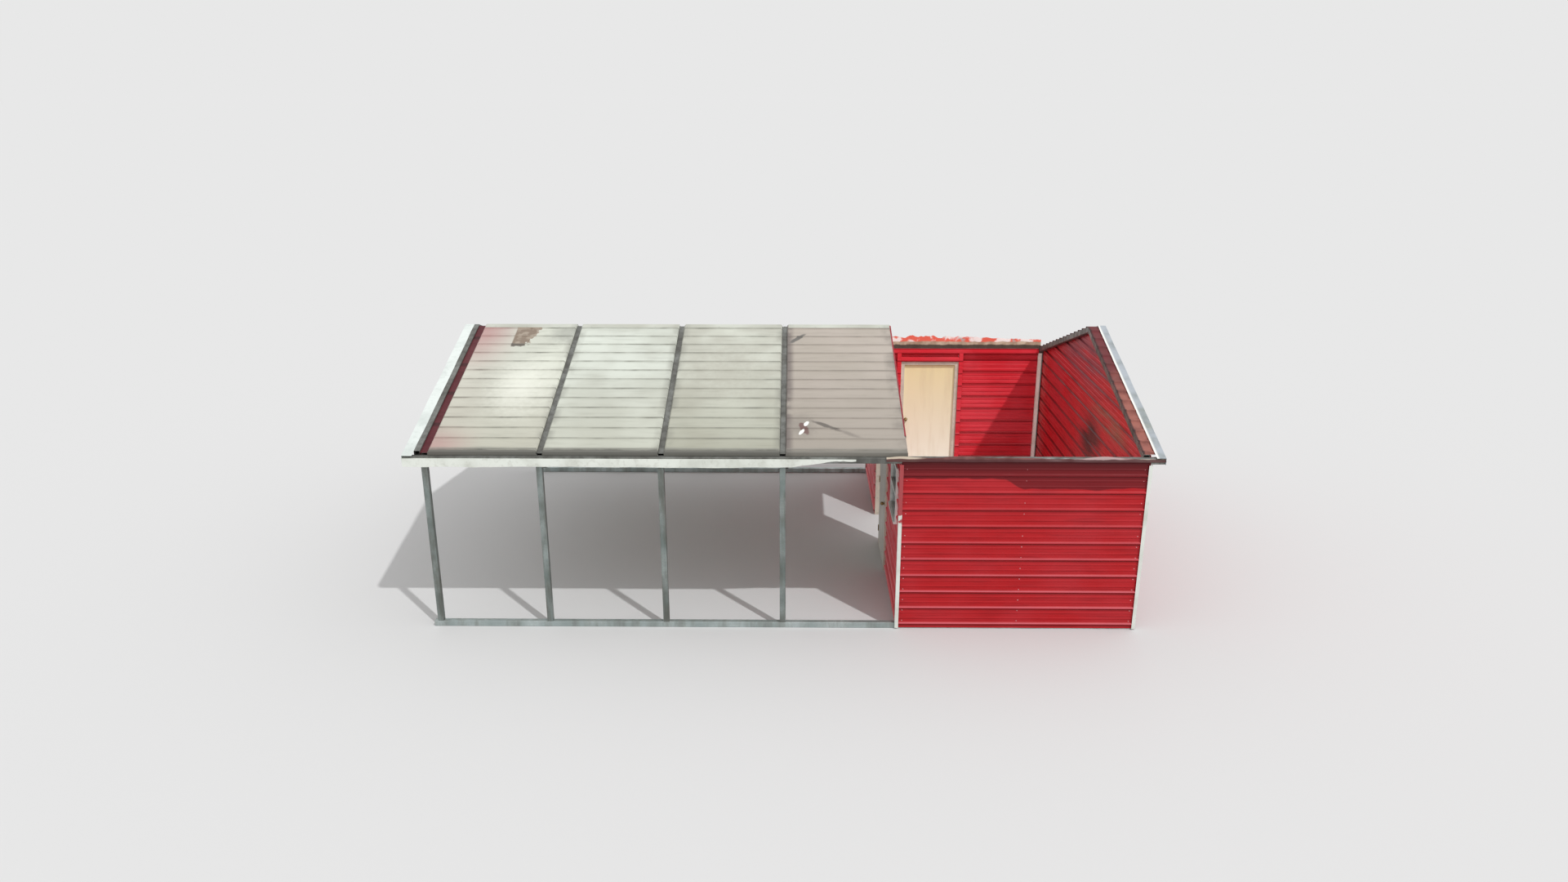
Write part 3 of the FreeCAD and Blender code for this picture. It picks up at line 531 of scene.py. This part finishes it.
def verge_finish():
    """The verge strip: deep red near the ridge, scoured brown below, a painted shadow along its
    inner edge.
    """
    finish, tree, shader, where = start_finish("scoured_red_verge", IOR=1.5)
    x = add(tree, "SeparateXYZ", {0: where}, out="X")
    y = add(tree, "SeparateXYZ", {0: where}, out="Y")
    dirt = clouds(tree, where, 0.16, 0.4, 0.75, 6.0)
    wander = add(tree, "TexNoise", {"Vector": where, "Scale": 3.0, "Detail": 4.0})
    down = add(tree, "Math", {0: add(tree, "Math", {0: y}, operation="ABSOLUTE"), 1: wander})
    scoured = add(tree, "MapRange", {0: down, 1: 1.5, 2: 2.1})
    colour = lay(tree, linear("6b2026"), "9c5c50", scoured)
    colour = lay(tree, colour, "5e3230", dirt, 0.6)
    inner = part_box("office_end_verge")[0].x
    # the dark inner edge is a painted shadow
    edge = add(tree, "MapRange", {0: x, 1: inner + 0.03, 2: inner + 0.015})
    colour = lay(tree, colour, "331516", edge, 0.9)
    dress(tree, shader, colour, dirt, 0.5, 0.7, clouds(tree, where, 0.12), 0.8 * MM)
    return finish


def corner_finish():
    """Corner trims: white, with red still ragged on the top of the office's front one."""
    finish, tree, shader, where = start_finish("white_paint_corners", IOR=1.5)
    x = add(tree, "SeparateXYZ", {0: where}, out="X")
    y = add(tree, "SeparateXYZ", {0: where}, out="Y")
    height = add(tree, "SeparateXYZ", {0: where}, out="Z")
    dirt = clouds(tree, where, 0.35, 0.4, 0.75, 6.0)
    colour = lay(tree, linear("dfe3dc"), "a5a598", dirt, 0.5)
    wander = add(tree, "TexNoise", {"Vector": where, "Scale": 9.0, "Detail": 5.0})
    level = add(tree, "Math", {0: wander, 1: 1.6, 2: height}, operation="MULTIPLY_ADD")
    high = add(tree, "MapRange", {0: level, 1: 2.35, 2: 2.45})
    partition_end = add(tree, "MapRange", {0: x, 1: 2.0, 2: 1.9})
    front = add(tree, "MapRange", {0: y, 1: -2.9, 2: -3.0})
    colour = lay(tree, colour, "a3242d", high, partition_end, front, 0.95)
    dress(tree, shader, colour, dirt, 0.45, 0.65, clouds(tree, where, 0.12), 0.8 * MM)
    return finish


grey_rake = rake_finish()
verge_paint = verge_finish()
white_corner = corner_finish()
print("materials so far:", len(bpy.data.materials))

# %% [markdown]
# ## The burnt trim and the torn sheet
# The office's front trim has gone brown, with three pale patches where it was bent and a painted
# shadow along its foot. The torn strip of roof on the back rail has painted shade at its foot,
# tan above, and along its edge red with painted white and teal highlights. Bands across the
# length place the patches of the one, and bands of height the colours of the other, and noise
# added to the place makes both ragged.

# %% Burnt trim and torn sheet finishes
def office_trim_finish():
    """The office's front trim: paint burnt brown, with pale bent patches and a painted shadow
    along its foot.
    """
    finish, tree, shader, where = start_finish("burnt_paint_office_trim", IOR=1.5)
    x = add(tree, "SeparateXYZ", {0: where}, out="X")
    height = add(tree, "SeparateXYZ", {0: where}, out="Z")
    dirt = clouds(tree, where, 0.2, 0.35, 0.65, 6.0)
    colour = lay(tree, linear("7c4c48"), "51302c", dirt, 0.8)
    wander = add(tree, "TexNoise", {"Vector": where, "Scale": 6.0, "Detail": 4.0})
    swayed = add(tree, "Math", {0: wander, 1: 0.3, 2: x}, operation="MULTIPLY_ADD")
    for card, start, stop in (("cbbda9", 1.3, 1.78), ("b9a2a0", 3.85, 4.35),
                              ("a29a8c", 4.6, 5.0)):
        colour = lay(tree, colour, card, band(tree, swayed, start, stop, 0.15), 0.9)
    # the dark foot is a painted shadow along the trim's lower edge
    ragged = add(tree, "Math", {0: wander, 1: 0.03, 2: height}, operation="MULTIPLY_ADD")
    foot = add(tree, "MapRange", {0: ragged, 1: 2.366, 2: 2.356})
    colour = lay(tree, colour, "4a1c1e", foot, 0.95)
    dress(tree, shader, colour, dirt, 0.5, 0.75, dirt, 1.0 * MM)
    return finish


def torn_sheet_finish():
    """The torn roof edge: painted shade at the rail, tan above, then red with painted white and
    teal highlights.
    """
    finish, tree, shader, where = start_finish("torn_roof_edge", IOR=1.5)
    height = add(tree, "SeparateXYZ", {0: where}, out="Z")
    rail = rail_high.z
    dirt = clouds(tree, where, 0.2, 0.35, 0.65, 6.0)
    colour = lay(tree, linear("c3af98"), "8d6f58", dirt, 0.8)
    # the white and teal in the red band are painted highlights
    bright = lay(tree, linear("e0604c"), "f0e6e2", clouds(tree, where, 0.24, 0.5, 0.6), 0.95)
    bright = lay(tree, bright, "9fb0ac", clouds(tree, where, 0.33, 0.6, 0.66), 0.8)
    wander = add(tree, "TexNoise", {"Vector": where, "Scale": 7.0, "Detail": 4.0})
    level = add(tree, "Math", {0: wander, 1: 0.05, 2: height}, operation="MULTIPLY_ADD")
    high = add(tree, "MapRange", {0: level, 1: rail + 0.135, 2: rail + 0.15})
    colour = lay(tree, colour, bright, high)
    # the dark foot is painted shade at the rail
    low = add(tree, "MapRange", {0: level, 1: rail + 0.095, 2: rail + 0.08})
    colour = lay(tree, colour, "33251f", low, 0.9)
    dress(tree, shader, colour, dirt, 0.5, 0.75, dirt, 1.0 * MM)
    return finish


office_trim = office_trim_finish()
torn_edge = torn_sheet_finish()
print("materials so far:", len(bpy.data.materials))

# %% [markdown]
# ## Brass, glass and rubber
# Knobs and hinges are satin brass, and the doors' sweeps black rubber. Window glass is
# clear float glass; what makes it dark is the unlit room behind, so here it is a dark, very
# smooth surface that mirrors the sky. They are small, so one colour each is enough, and
# handling marks show only as a change of gloss.

# %% Finishes of the small parts
def plain_finish(name, card, smooth, dull, size, **surface):
    """A small part's finish: one colour, with handling marks in its gloss."""
    finish, tree, shader, where = start_finish(name, **surface)
    worn = clouds(tree, where, size)
    colour = lay(tree, linear(card), "2b2a28", worn, 0.25)
    dress(tree, shader, colour, worn, smooth, dull, worn, 0.05 * MM)
    return finish


satin_brass = plain_finish("satin_brass", "a68f63", 0.25, 0.4, 0.02, Metallic=1.0)
float_glass = plain_finish("clear_float_glass", "2c363a", 0.04, 0.12, 0.2, IOR=1.52)
rubber = plain_finish("black_rubber_seal", "232323", 0.6, 0.8, 0.05, IOR=1.5)
print("materials so far:", len(bpy.data.materials))

# %% [markdown]
# ## Who wears what
# A part that came with the frame keeps its shape and gets its finish by name. One table
# from finish to parts does that, and shows at a glance that no part is left out.

# %% Give each part its finish
FINISHES = {
    zinc_base_lit: "front_base_rail back_base_rail office_end_base_rail partition_base_rail",
    zinc_posts: "front_posts back_posts office_posts side_door_posts",
    zinc_bows: "front_eave_rail back_eave_rail open_end_tie partition_rails bow_1 bow_2 bow_3 "
               "bow_4 bow_5 office_end_bow open_end_edge_rafters",
    roof_first: "roof_front_1",
    roof_second: "roof_front_2",
    roof_third: "roof_front_3",
    roof_last: "roof_front_4",
    roof_rear: "roof_back ridge_caps",
    red_front: "office_front_wall",
    red_wall_brightened: "office_back_wall partition_wall partition_gable back_door_posts",
    red_gable_brightened: "office_end_wall",
    red_shaded_open_end: "open_end_gable",
    verge_paint: "office_end_verge",
    white_rake: "rake_trim_open_end",
    grey_rake: "rake_trim_office_end",
    white_corner: "corner_trims",
    white_trim: "eave_trim_back eave_trim_carport",
    office_trim: "eave_trim_office",
    jamb_paint: "back_door_frame side_door_frame passage_post",
    back_leaf_paint: "back_door_leaf",
    side_leaf_shaded: "side_door_leaf",
    satin_brass: "back_door_knobs_and_hinges side_door_knobs_and_hinges",
    window_white: "window_frame",
    float_glass: "window_glass",
}
for finish, names in FINISHES.items():
    for name in names.split():
        parts[name].data.materials.clear()
        parts[name].data.materials.append(finish)
print("finished", sum(len(names.split()) for names in FINISHES.values()), "of", len(parts))

# %% [markdown]
# ## A maker for bent sheet
# Folded trims, torn sheet and seals are all long things with one cross-section, so one maker
# skins them: it takes the section at many stations and joins each to the next. When the section
# drifts a few millimetres from station to station the result looks handled, which a straight
# extrusion never does. Each piece rides on the body that carries it, and wears the finish it is
# given.

# %% Skin a row of sections
def place_piece(name, form, finish, body="building"):
    """Turns a bmesh into a named piece that rides on a body."""
    bmesh.ops.recalc_face_normals(form, faces=form.faces)
    mesh = bpy.data.meshes.new(name)
    form.to_mesh(mesh)
    form.free()
    mesh.materials.append(finish)
    made = bpy.data.objects.new(name, mesh)
    bpy.context.scene.collection.objects.link(made)
    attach(made, body)
    return made


def skin(name, sections, finish, body="building"):
    """Skin over closed sections of equal length, capped at both ends."""
    form = bmesh.new()
    rings = [[form.verts.new(point) for point in section] for section in sections]
    for ring, after in zip(rings, rings[1:]):
        for i, corner in enumerate(ring):
            j = (i + 1) % len(ring)
            form.faces.new((corner, ring[j], after[j], after[i]))
    form.faces.new(rings[0])
    form.faces.new(rings[-1])
    print(name, "from", len(sections), "sections")
    return place_piece(name, form, finish, body)


def drift(x, seed, size):
    """Smooth number from -1 to 1 that changes over about size metres of x."""
    return noise.noise(Vector((x / size, 7.3 * seed, 0.5)))


def stations(start, stop, step):
    """Evenly spaced places from start to stop."""
    count = max(2, round((stop - start) / step) + 1)
    return [start + (stop - start) * i / (count - 1) for i in range(count)]


# %% [markdown]
# ## The carport's front trim
# The white trim in front of the carport's eave is folded from thin coil: a top leg, a face
# and a short return. Its hem has been knocked in and its last piece torn to a point, so it
# is skinned anew in the place of the straight one, with a foot that climbs at the tear.

# %% Bent carport trim
SHEET_METAL = 1.5 * MM
TRIM_RETURN = 14 * MM
TEAR_LENGTH = 0.8

low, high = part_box("eave_trim_carport")
tear_start = high.x - TEAR_LENGTH
tear_height = high.z - low.z - 0.032
sections = []
for x in stations(low.x, high.x, 0.05):
    tear = max(0.0, (x - tear_start) / TEAR_LENGTH)
    foot = low.z + 0.014 + 0.014 * drift(x, 1, 0.5) + 0.005 * drift(x, 2, 0.12)
    foot += min(1.0, 1.5 * tear) * tear_height + 0.012 * tear * drift(x, 3, 0.08)
    top = high.z - 0.001 + 0.001 * drift(x, 5, 0.4)
    face = low.y + 0.002 + 0.002 * drift(x, 4, 0.3)
    back = face + SHEET_METAL
    lip = face + TRIM_RETURN - 0.004 * tear
    sections.append([
        (x, high.y, top), (x, face, top), (x, face - 0.0003, (top + foot) / 2), (x, face, foot),
        (x, lip, foot + 0.002), (x, lip, foot + 0.002 + SHEET_METAL),
        (x, back, foot + 2 * SHEET_METAL), (x, back, top - SHEET_METAL),
        (x, high.y, top - SHEET_METAL)])
trim = skin("carport_front_trim", sections, white_trim)
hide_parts("eave_trim_carport")

# %% [markdown]
# ## The office's front trim
# This trim lost the roof sheet that held it, so its top leg has sprung up past the rail,
# most of all at two dents where something pulled at it. The same maker does it. Behind it a
# thin red strip carries the wall's paint up over the face of the rail.

# %% Sprung office trim and the strip behind it
PULLS = ((0.030, 3.95, 0.22), (0.015, 1.5, 0.2))    # height, place and reach of each dent

low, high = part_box("eave_trim_office")
fold = high.z - 0.012
sections = []
for x in stations(low.x, high.x, 0.04):
    lift = 0.026 + 0.020 * drift(x, 11, 0.45) + 0.008 * drift(x, 12, 0.1)
    lift += sum(pull * math.exp(-((x - place) / reach) ** 2) for pull, place, reach in PULLS)
    foot = low.z + 0.040 + 0.006 * drift(x, 13, 0.4)
    face = low.y + 0.003 + 0.003 * drift(x, 14, 0.25)
    back = face + SHEET_METAL
    lip = face + 0.012
    sections.append([
        (x, high.y - 0.004, high.z + lift), (x, high.y - 0.0055, high.z + lift),
        (x, face, fold), (x, face, foot), (x, lip, foot), (x, lip, foot + SHEET_METAL),
        (x, back, foot + SHEET_METAL), (x, back, fold)])
trim = skin("office_front_trim", sections, office_trim)
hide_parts("eave_trim_office")

wall_low, wall_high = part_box("office_front_wall")
foot, top = low.z + 0.056, wall_high.z - 0.02
sections = []
for x in stations(wall_low.x + 0.002, end_low.x - 0.002, 0.1):
    face = -rail_high.y - 0.004 + 0.001 * drift(x, 52, 0.4)
    back = face + SHEET_METAL
    sections.append([(x, face, foot), (x, face, top), (x, back, top), (x, back, foot)])
skin("front_wall_top_strip", sections, red_front)

# %% [markdown]
# ## Bent rakes
# The rakes cap both ends of the roof. People have leaned ladders on them and wind has
# worried them, so their outer faces wander by a centimetre and their hems are uneven. They
# only ever bend inward, which keeps the building as long as it was measured.

# %% Bent rakes
RAKE_LEG = 101 * MM


def bent_rake(node, outward, finish, seed):
    """A folded cap over one end, from the front eave over the ridge to the back eave."""
    low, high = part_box(node)
    width = high.x - low.x
    edge = high.x if outward > 0 else low.x
    sections = []
    for y in stations(low.y, high.y, 0.064):
        bend = 0.006 + 0.006 * drift(y, seed, 0.45) + 0.003 * drift(y, seed + 1, 0.1)
        outer = edge - outward * bend
        back = outer - outward * SHEET_METAL
        inner = edge - outward * (width - 0.008 - 0.006 * drift(y, seed + 2, 0.3))
        top = high.z - abs(y) * ROOF_PITCH - 0.0005
        hem = top - RAKE_LEG + 0.010
        hem += 0.008 * drift(y, seed + 3, 0.35) + 0.004 * drift(y, seed + 4, 0.08)
        sections.append([
            (inner, y, top), (outer, y, top), (outer, y, hem), (back, y, hem),
            (back, y, top - SHEET_METAL), (inner, y, top - SHEET_METAL)])
    rake = skin(f"bent_{node}", sections, finish)
    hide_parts(node)


bent_rake("rake_trim_open_end", -1, white_rake, 61)
bent_rake("rake_trim_office_end", 1, grey_rake, 71)

# %% [markdown]
# ## What is left of the office roof
# The office has lost its roof, but a torn strip of it still stands on the back rail. It is bent
# up and ragged along its edge, with painted shade at its foot, tan paint below and red with
# painted white and teal highlights above. The same maker does it, with a section that gets
# taller and shorter in jagged steps.

# %% Torn strip on the back rail
TORN_BEND = 60 * MM
TORN_FLANGE = 30 * MM

start_x, stop_x = bow_xs[4] + 0.042, end_low.x - 0.05
front = rail_low.y + 0.022
foot = rail_high.z + SHEET_METAL
sections = []
for x in stations(start_x, stop_x, 0.025):
    along = (x - start_x) / (stop_x - start_x)
    ragged = 0.5 + 0.5 * drift(x, 21, 0.16) + 0.30 * drift(x, 22, 0.05)
    top = foot + (0.155 + 0.10 * max(0.2, ragged) * min(1.0, 1.7 * (1.0 - along)))
    lean = 0.012 * drift(x, 23, 0.3)
    waist, edge = front + 0.3 * lean, front + lean + 0.008
    sections.append([
        (x, front, foot), (x, waist, foot + TORN_BEND), (x, edge, top),
        (x, edge + SHEET_METAL, top), (x, waist + SHEET_METAL, foot + TORN_BEND),
        (x, front + TORN_FLANGE, foot + SHEET_METAL), (x, front + TORN_FLANGE, foot)])
skin("torn_roof_edge_strip", sections, torn_edge)
print("torn strip", round(stop_x - start_x, 2), "m long")

# %% [markdown]
# ## Linings inside the office
# A white angle covers the post in the office's back corner, from the base rail up to the
# eave rail. A red strip lines the inner face of the back eave rail, so the wall's colour
# runs up to the torn roof. Both are thin, flat and stand a millimetre or two off the tubes.

# %% Corner angle and rail lining
post_x, post_y = end_low.x - TUBE, rail_low.y
right, rear = end_low.x - 0.024, post_y + 0.06
sections = []
for z in stations(0.085, rail_low.z - 0.012, 0.08):
    shift = 0.0015 * (1 + drift(z, 31, 0.3))
    x, y = post_x - SHEET_METAL - shift, post_y - SHEET_METAL - shift
    sections.append([
        (x, y, z), (right, y, z), (right, y + SHEET_METAL, z),
        (x + SHEET_METAL, y + SHEET_METAL, z), (x + SHEET_METAL, rear, z), (x, rear, z)])
skin("office_inside_corner_angle", sections, white_angle_lifted)

foot, top = rail_low.z - 0.012, rail_high.z - 0.001
sections = []
for x in stations(start_x, post_x - 0.004, 0.1):
    face = rail_low.y - 0.003 + 0.001 * drift(x, 51, 0.4)
    back = face + SHEET_METAL
    sections.append([(x, face, top), (x, face, foot), (x, back, foot), (x, back, top)])
skin("back_rail_lining", sections, red_wall_brightened)

# %% [markdown]
# ## Edge strip of the last roof sheet
# Above the office the last roof sheet ends in the open. A thin red angle laps its edge and
# hangs down in front of the bow, from just below the ridge almost to the eave.

# %% Last bay's edge strip
STRIP_LEG = 45 * MM

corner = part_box("roof_front_4")[1]
lap, face = corner.x - 0.016, corner.x + 0.004
back = corner.x + 0.0025
sections = []
for down in stations(0.04, 2.80, 0.08):
    y = -down * SLOPE_COS
    z = corner.z + 0.003 + y * ROOF_PITCH
    top = z + 0.002 * drift(down, 41, 0.3)
    sections.append([
        (lap, y, top), (face, y, top), (face, y, z - STRIP_LEG), (back, y, z - STRIP_LEG),
        (back, y, top - SHEET_METAL), (lap, y, top - SHEET_METAL)])
skin("last_bay_edge_strip", sections, red_edge)

# %% [markdown]
# ## Door sweeps
# Under each door leaf a rubber sweep closes the gap to the ground: a flat back that
# narrows to a soft lip. It is an extrusion in real life too, so the maker skins its profile
# along the leaf, and it rides on the door's own body to swing with it.

# %% Sweeps under the doors
SWEEP_PROFILE = ((-0.012, 0.0), (0.012, 0.0), (0.009, -0.007), (0.004, -0.014),
                 (-0.004, -0.014), (-0.009, -0.007))
SWEEP_INSET = 4 * MM

for door, axis in (("back_door", 0), ("side_door", 1)):
    low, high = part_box(f"{door}_leaf")
    middle = (low[1 - axis] + high[1 - axis]) / 2
    sections = []
    for along in stations(low[axis] + SWEEP_INSET, high[axis] - SWEEP_INSET, 0.06):
        sections.append([
            (along, middle + u, low.z + v) if axis == 0 else (middle + u, along, low.z + v)
            for u, v in SWEEP_PROFILE])
    skin(f"{door}_sweep", sections, rubber, body=door)

# %% [markdown]
# ## Screws
# Self-drilling screws hold everything: a hexagon head on a wide washer, painted like the
# sheet. They sit in the flats beside the ribs, in upright rows wherever a tube stands
# behind, six inches apart. One mesh a wall keeps hundreds of them cheap.

# %% A maker for rows of screws
SCREW_STEP = 152.4 * MM
WASHER_RADIUS = 8 * MM
WASHER_DEPTH = 1.6 * MM
HEAD_RADIUS = 5.5 * MM
HEAD_DEPTH = 4 * MM


def add_screw(form, place, outward):
    """A domed washer and a hexagon head, standing out from place."""
    turn = Vector(outward).to_track_quat("Z", "Y").to_matrix().to_4x4()
    for radius, top, depth, start, sides in (
        (WASHER_RADIUS, 0.6 * WASHER_RADIUS, WASHER_DEPTH, 0.0, 12),
        (HEAD_RADIUS, 0.85 * HEAD_RADIUS, HEAD_DEPTH, WASHER_DEPTH, 6),
    ):
        at = Matrix.Translation(place) @ turn @ Matrix.Translation((0, 0, start + depth / 2))
        bmesh.ops.create_cone(form, cap_ends=True, segments=sides, radius1=radius,
                              radius2=top, depth=depth, matrix=at)


def screw_rows(name, places, outward, finish):
    """All the screws of one wall, as one piece."""
    form = bmesh.new()
    for place in places:
        add_screw(form, Vector(place), outward)
    place_piece(name, form, finish)
    print(name, len(places), "screws")


# %% [markdown]
# ## Rows on the walls, the back trim and the ridge
# Walls are screwed to the posts and beside the doorways, from the first flat above the
# lowest rib to the eave rail. The back trim and the ridge caps have wider rows. The boxes
# of the parts place each row.

# %% Screws in the walls
SHEET_OUT = 2 * MM
BESIDE_DOOR = 38 * MM
END_ROW = 65 * MM
SIDE_ROW = 60 * MM
PARTITION_ROW = 30 * MM

front_y, back_y = -rail_high.y, rail_high.y
levels = stations(WALL_RIB_START + TUBE / 2, 2.21, SCREW_STEP)
door_low, door_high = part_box("back_door_frame")
side_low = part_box("side_door_frame")[0]
passage_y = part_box("passage_post")[1].y
partition_x, end_x = bow_xs[4] + PARTITION_ROW, end_low.x - END_ROW
wall_face = bow_xs[4] - TUBE / 2 - SHEET_OUT

for name, outward, places in (
    ("front_wall_screws", (0, -1, 0),
     [(x, front_y - SHEET_OUT, z) for z in levels
      for x in (partition_x, bow_xs[4] + bay_length, end_x)]),
    ("back_wall_screws", (0, 1, 0),
     [(x, back_y + SHEET_OUT, z) for z in levels
      for x in (partition_x, door_low.x - BESIDE_DOOR, door_high.x + BESIDE_DOOR, end_x)]),
    ("office_end_screws", (1, 0, 0),
     [(end_low.x + SHEET_OUT, y, z) for z in levels
      for y in (front_y + SIDE_ROW, back_y - SIDE_ROW)]),
    ("partition_screws", (-1, 0, 0),
     [(wall_face, y, z) for z in levels
      for y in (front_y + SIDE_ROW, side_low.y - BESIDE_DOOR, passage_y - BESIDE_DOOR,
                back_y - SIDE_ROW)]),
):
    screw_rows(name, places, outward, screw_paint)

# %% Screws in the back trim and the ridge caps
TRIM_SCREW_STEP = 762 * MM
CAP_SCREW_STEP = 457.2 * MM
CAP_ROW = 75 * MM

low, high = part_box("eave_trim_back")
trim_z = 0.35 * low.z + 0.65 * high.z
screw_rows("back_trim_screws", [(x, high.y, trim_z) for x in
                                stations(low.x + 0.2, high.x - 0.2, TRIM_SCREW_STEP)],
           (0, 1, 0), white_screw)
low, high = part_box("ridge_caps")
cap_z = high.z - CAP_ROW * ROOF_PITCH
screw_rows("ridge_cap_screws", [(x, side * CAP_ROW, cap_z) for x in
                                stations(low.x + 0.15, high.x - 0.15, CAP_SCREW_STEP)
                                for side in (-1, 1)],
           (0, 0, 1), white_screw)

# %% [markdown]
# ## Sky and sun
# A pale, even sky does most of the lighting. One sun stands high on the right, with edges
# to its shadows as crisp as outdoors. It leaves the inside of the right gable in shade and
# throws that gable's slope across the back wall. The standard view keeps the painted reds
# as deep as their paint cards.

# %% Sky and sun
SKY = linear("e8e8e8")[0]
SUN_STRENGTH = 1.5
SUN_HEIGHT = math.radians(56)
SUN_TURN = math.radians(40)

world = bpy.data.worlds.new("studio_sky")
world.use_nodes = True
sky = world.node_tree.nodes["Background"]
sky.inputs["Color"].default_value = (SKY, SKY, SKY, 1)
bpy.context.scene.world = world
bpy.context.scene.view_settings.view_transform = "Standard"

sun = bpy.data.lights.new("high_sun", "SUN")
sun.energy = SUN_STRENGTH
sun.angle = math.radians(1.2)
sun_stand = bpy.data.objects.new("high_sun", sun)
toward_sun = Vector((math.sin(SUN_TURN) * math.cos(SUN_HEIGHT),
                     -math.cos(SUN_TURN) * math.cos(SUN_HEIGHT), math.sin(SUN_HEIGHT)))
sun_stand.rotation_euler = toward_sun.to_track_quat("Z", "Y").to_euler()
bpy.context.scene.collection.objects.link(sun_stand)
print("toward the sun", [round(v, 2) for v in toward_sun])

# %% [markdown]
# ## Light inside the office
# The office is an open box with high walls, and from outside it would look like a pit. So a
# round lamp in front and a second, weaker sun in line with the first light only what is
# inside it. Light linking does that: a collection names the parts that a lamp may reach.

# %% Lamps that reach only the office
OFFICE_LAMP_POWER = 130
OFFICE_SUN_STRENGTH = 0.9

office_inside = bpy.data.collections.new("office_inside")
for name in ("office_back_wall", "office_end_wall", "back_door_leaf", "back_door_frame",
             "back_door_posts", "office_posts", "back_door_knobs_and_hinges"):
    office_inside.objects.link(parts[name])
for name in ("office_inside_corner_angle", "back_rail_lining", "torn_roof_edge_strip"):
    office_inside.objects.link(bpy.data.objects[name])

fill = bpy.data.lights.new("office_fill", "AREA")
fill.shape = "DISK"
fill.size = 2.5
fill.energy = OFFICE_LAMP_POWER
fill_stand = bpy.data.objects.new("office_fill", fill)
fill_stand.location = (1.4, -4.6, 6.4)
fill_aim = Vector((3.3, 3.0, 1.4)) - fill_stand.location
fill_stand.rotation_euler = fill_aim.to_track_quat("-Z", "Y").to_euler()
fill_stand.visible_camera = False

second_sun = bpy.data.lights.new("office_sun", "SUN")
second_sun.energy = OFFICE_SUN_STRENGTH
second_sun.angle = sun.angle
second_sun_stand = bpy.data.objects.new("office_sun", second_sun)
second_sun_stand.rotation_euler = sun_stand.rotation_euler

for stand in (fill_stand, second_sun_stand):
    bpy.context.scene.collection.objects.link(stand)
    stand.light_linking.receiver_collection = office_inside

# %% [markdown]
# ## Floor
# A pale floor meets the pale sky as in a studio sweep. It takes light from the sky
# and from the sun, so its grey is worked out backwards: the share that it gives back has to
# make it exactly as bright as the sky, and then no horizon shows.

# %% Floor
floor_share = SKY / (SKY + SUN_STRENGTH * toward_sun.z / math.pi)
bpy.ops.mesh.primitive_plane_add(size=2000)
floor = bpy.context.object
floor.name = "studio_floor"
floor.location.z = -1 * MM
floor.data.materials.append(start_finish(
    "matte_studio_floor", Base_Color=(floor_share, floor_share, floor_share, 1),
    Roughness=1.0, Specular_IOR_Level=0.0)[0])
print("floor gives back", round(floor_share, 3))

# %% [markdown]
# ## Camera
# The camera stands well in front of the carport, higher than its ridge, and looks down
# through a wide lens, so that both the roof and the inside of the office show.

# %% Camera
LENS = 24.45
LOOKS_DOWN = math.radians(18.05)
LOOKS_LEFT = math.radians(0.56)

lens = bpy.data.cameras.new("viewpoint")
lens.sensor_width = 36.0
lens.lens = LENS
lens.clip_end = 2000
viewpoint = bpy.data.objects.new("viewpoint", lens)
viewpoint.location = (0.140, -15.571, 6.654)
viewpoint.rotation_euler = (math.radians(90) - LOOKS_DOWN, 0, LOOKS_LEFT)
bpy.context.scene.collection.objects.link(viewpoint)
bpy.context.scene.camera = viewpoint
print("camera", round(viewpoint.location.length, 1), "m away")
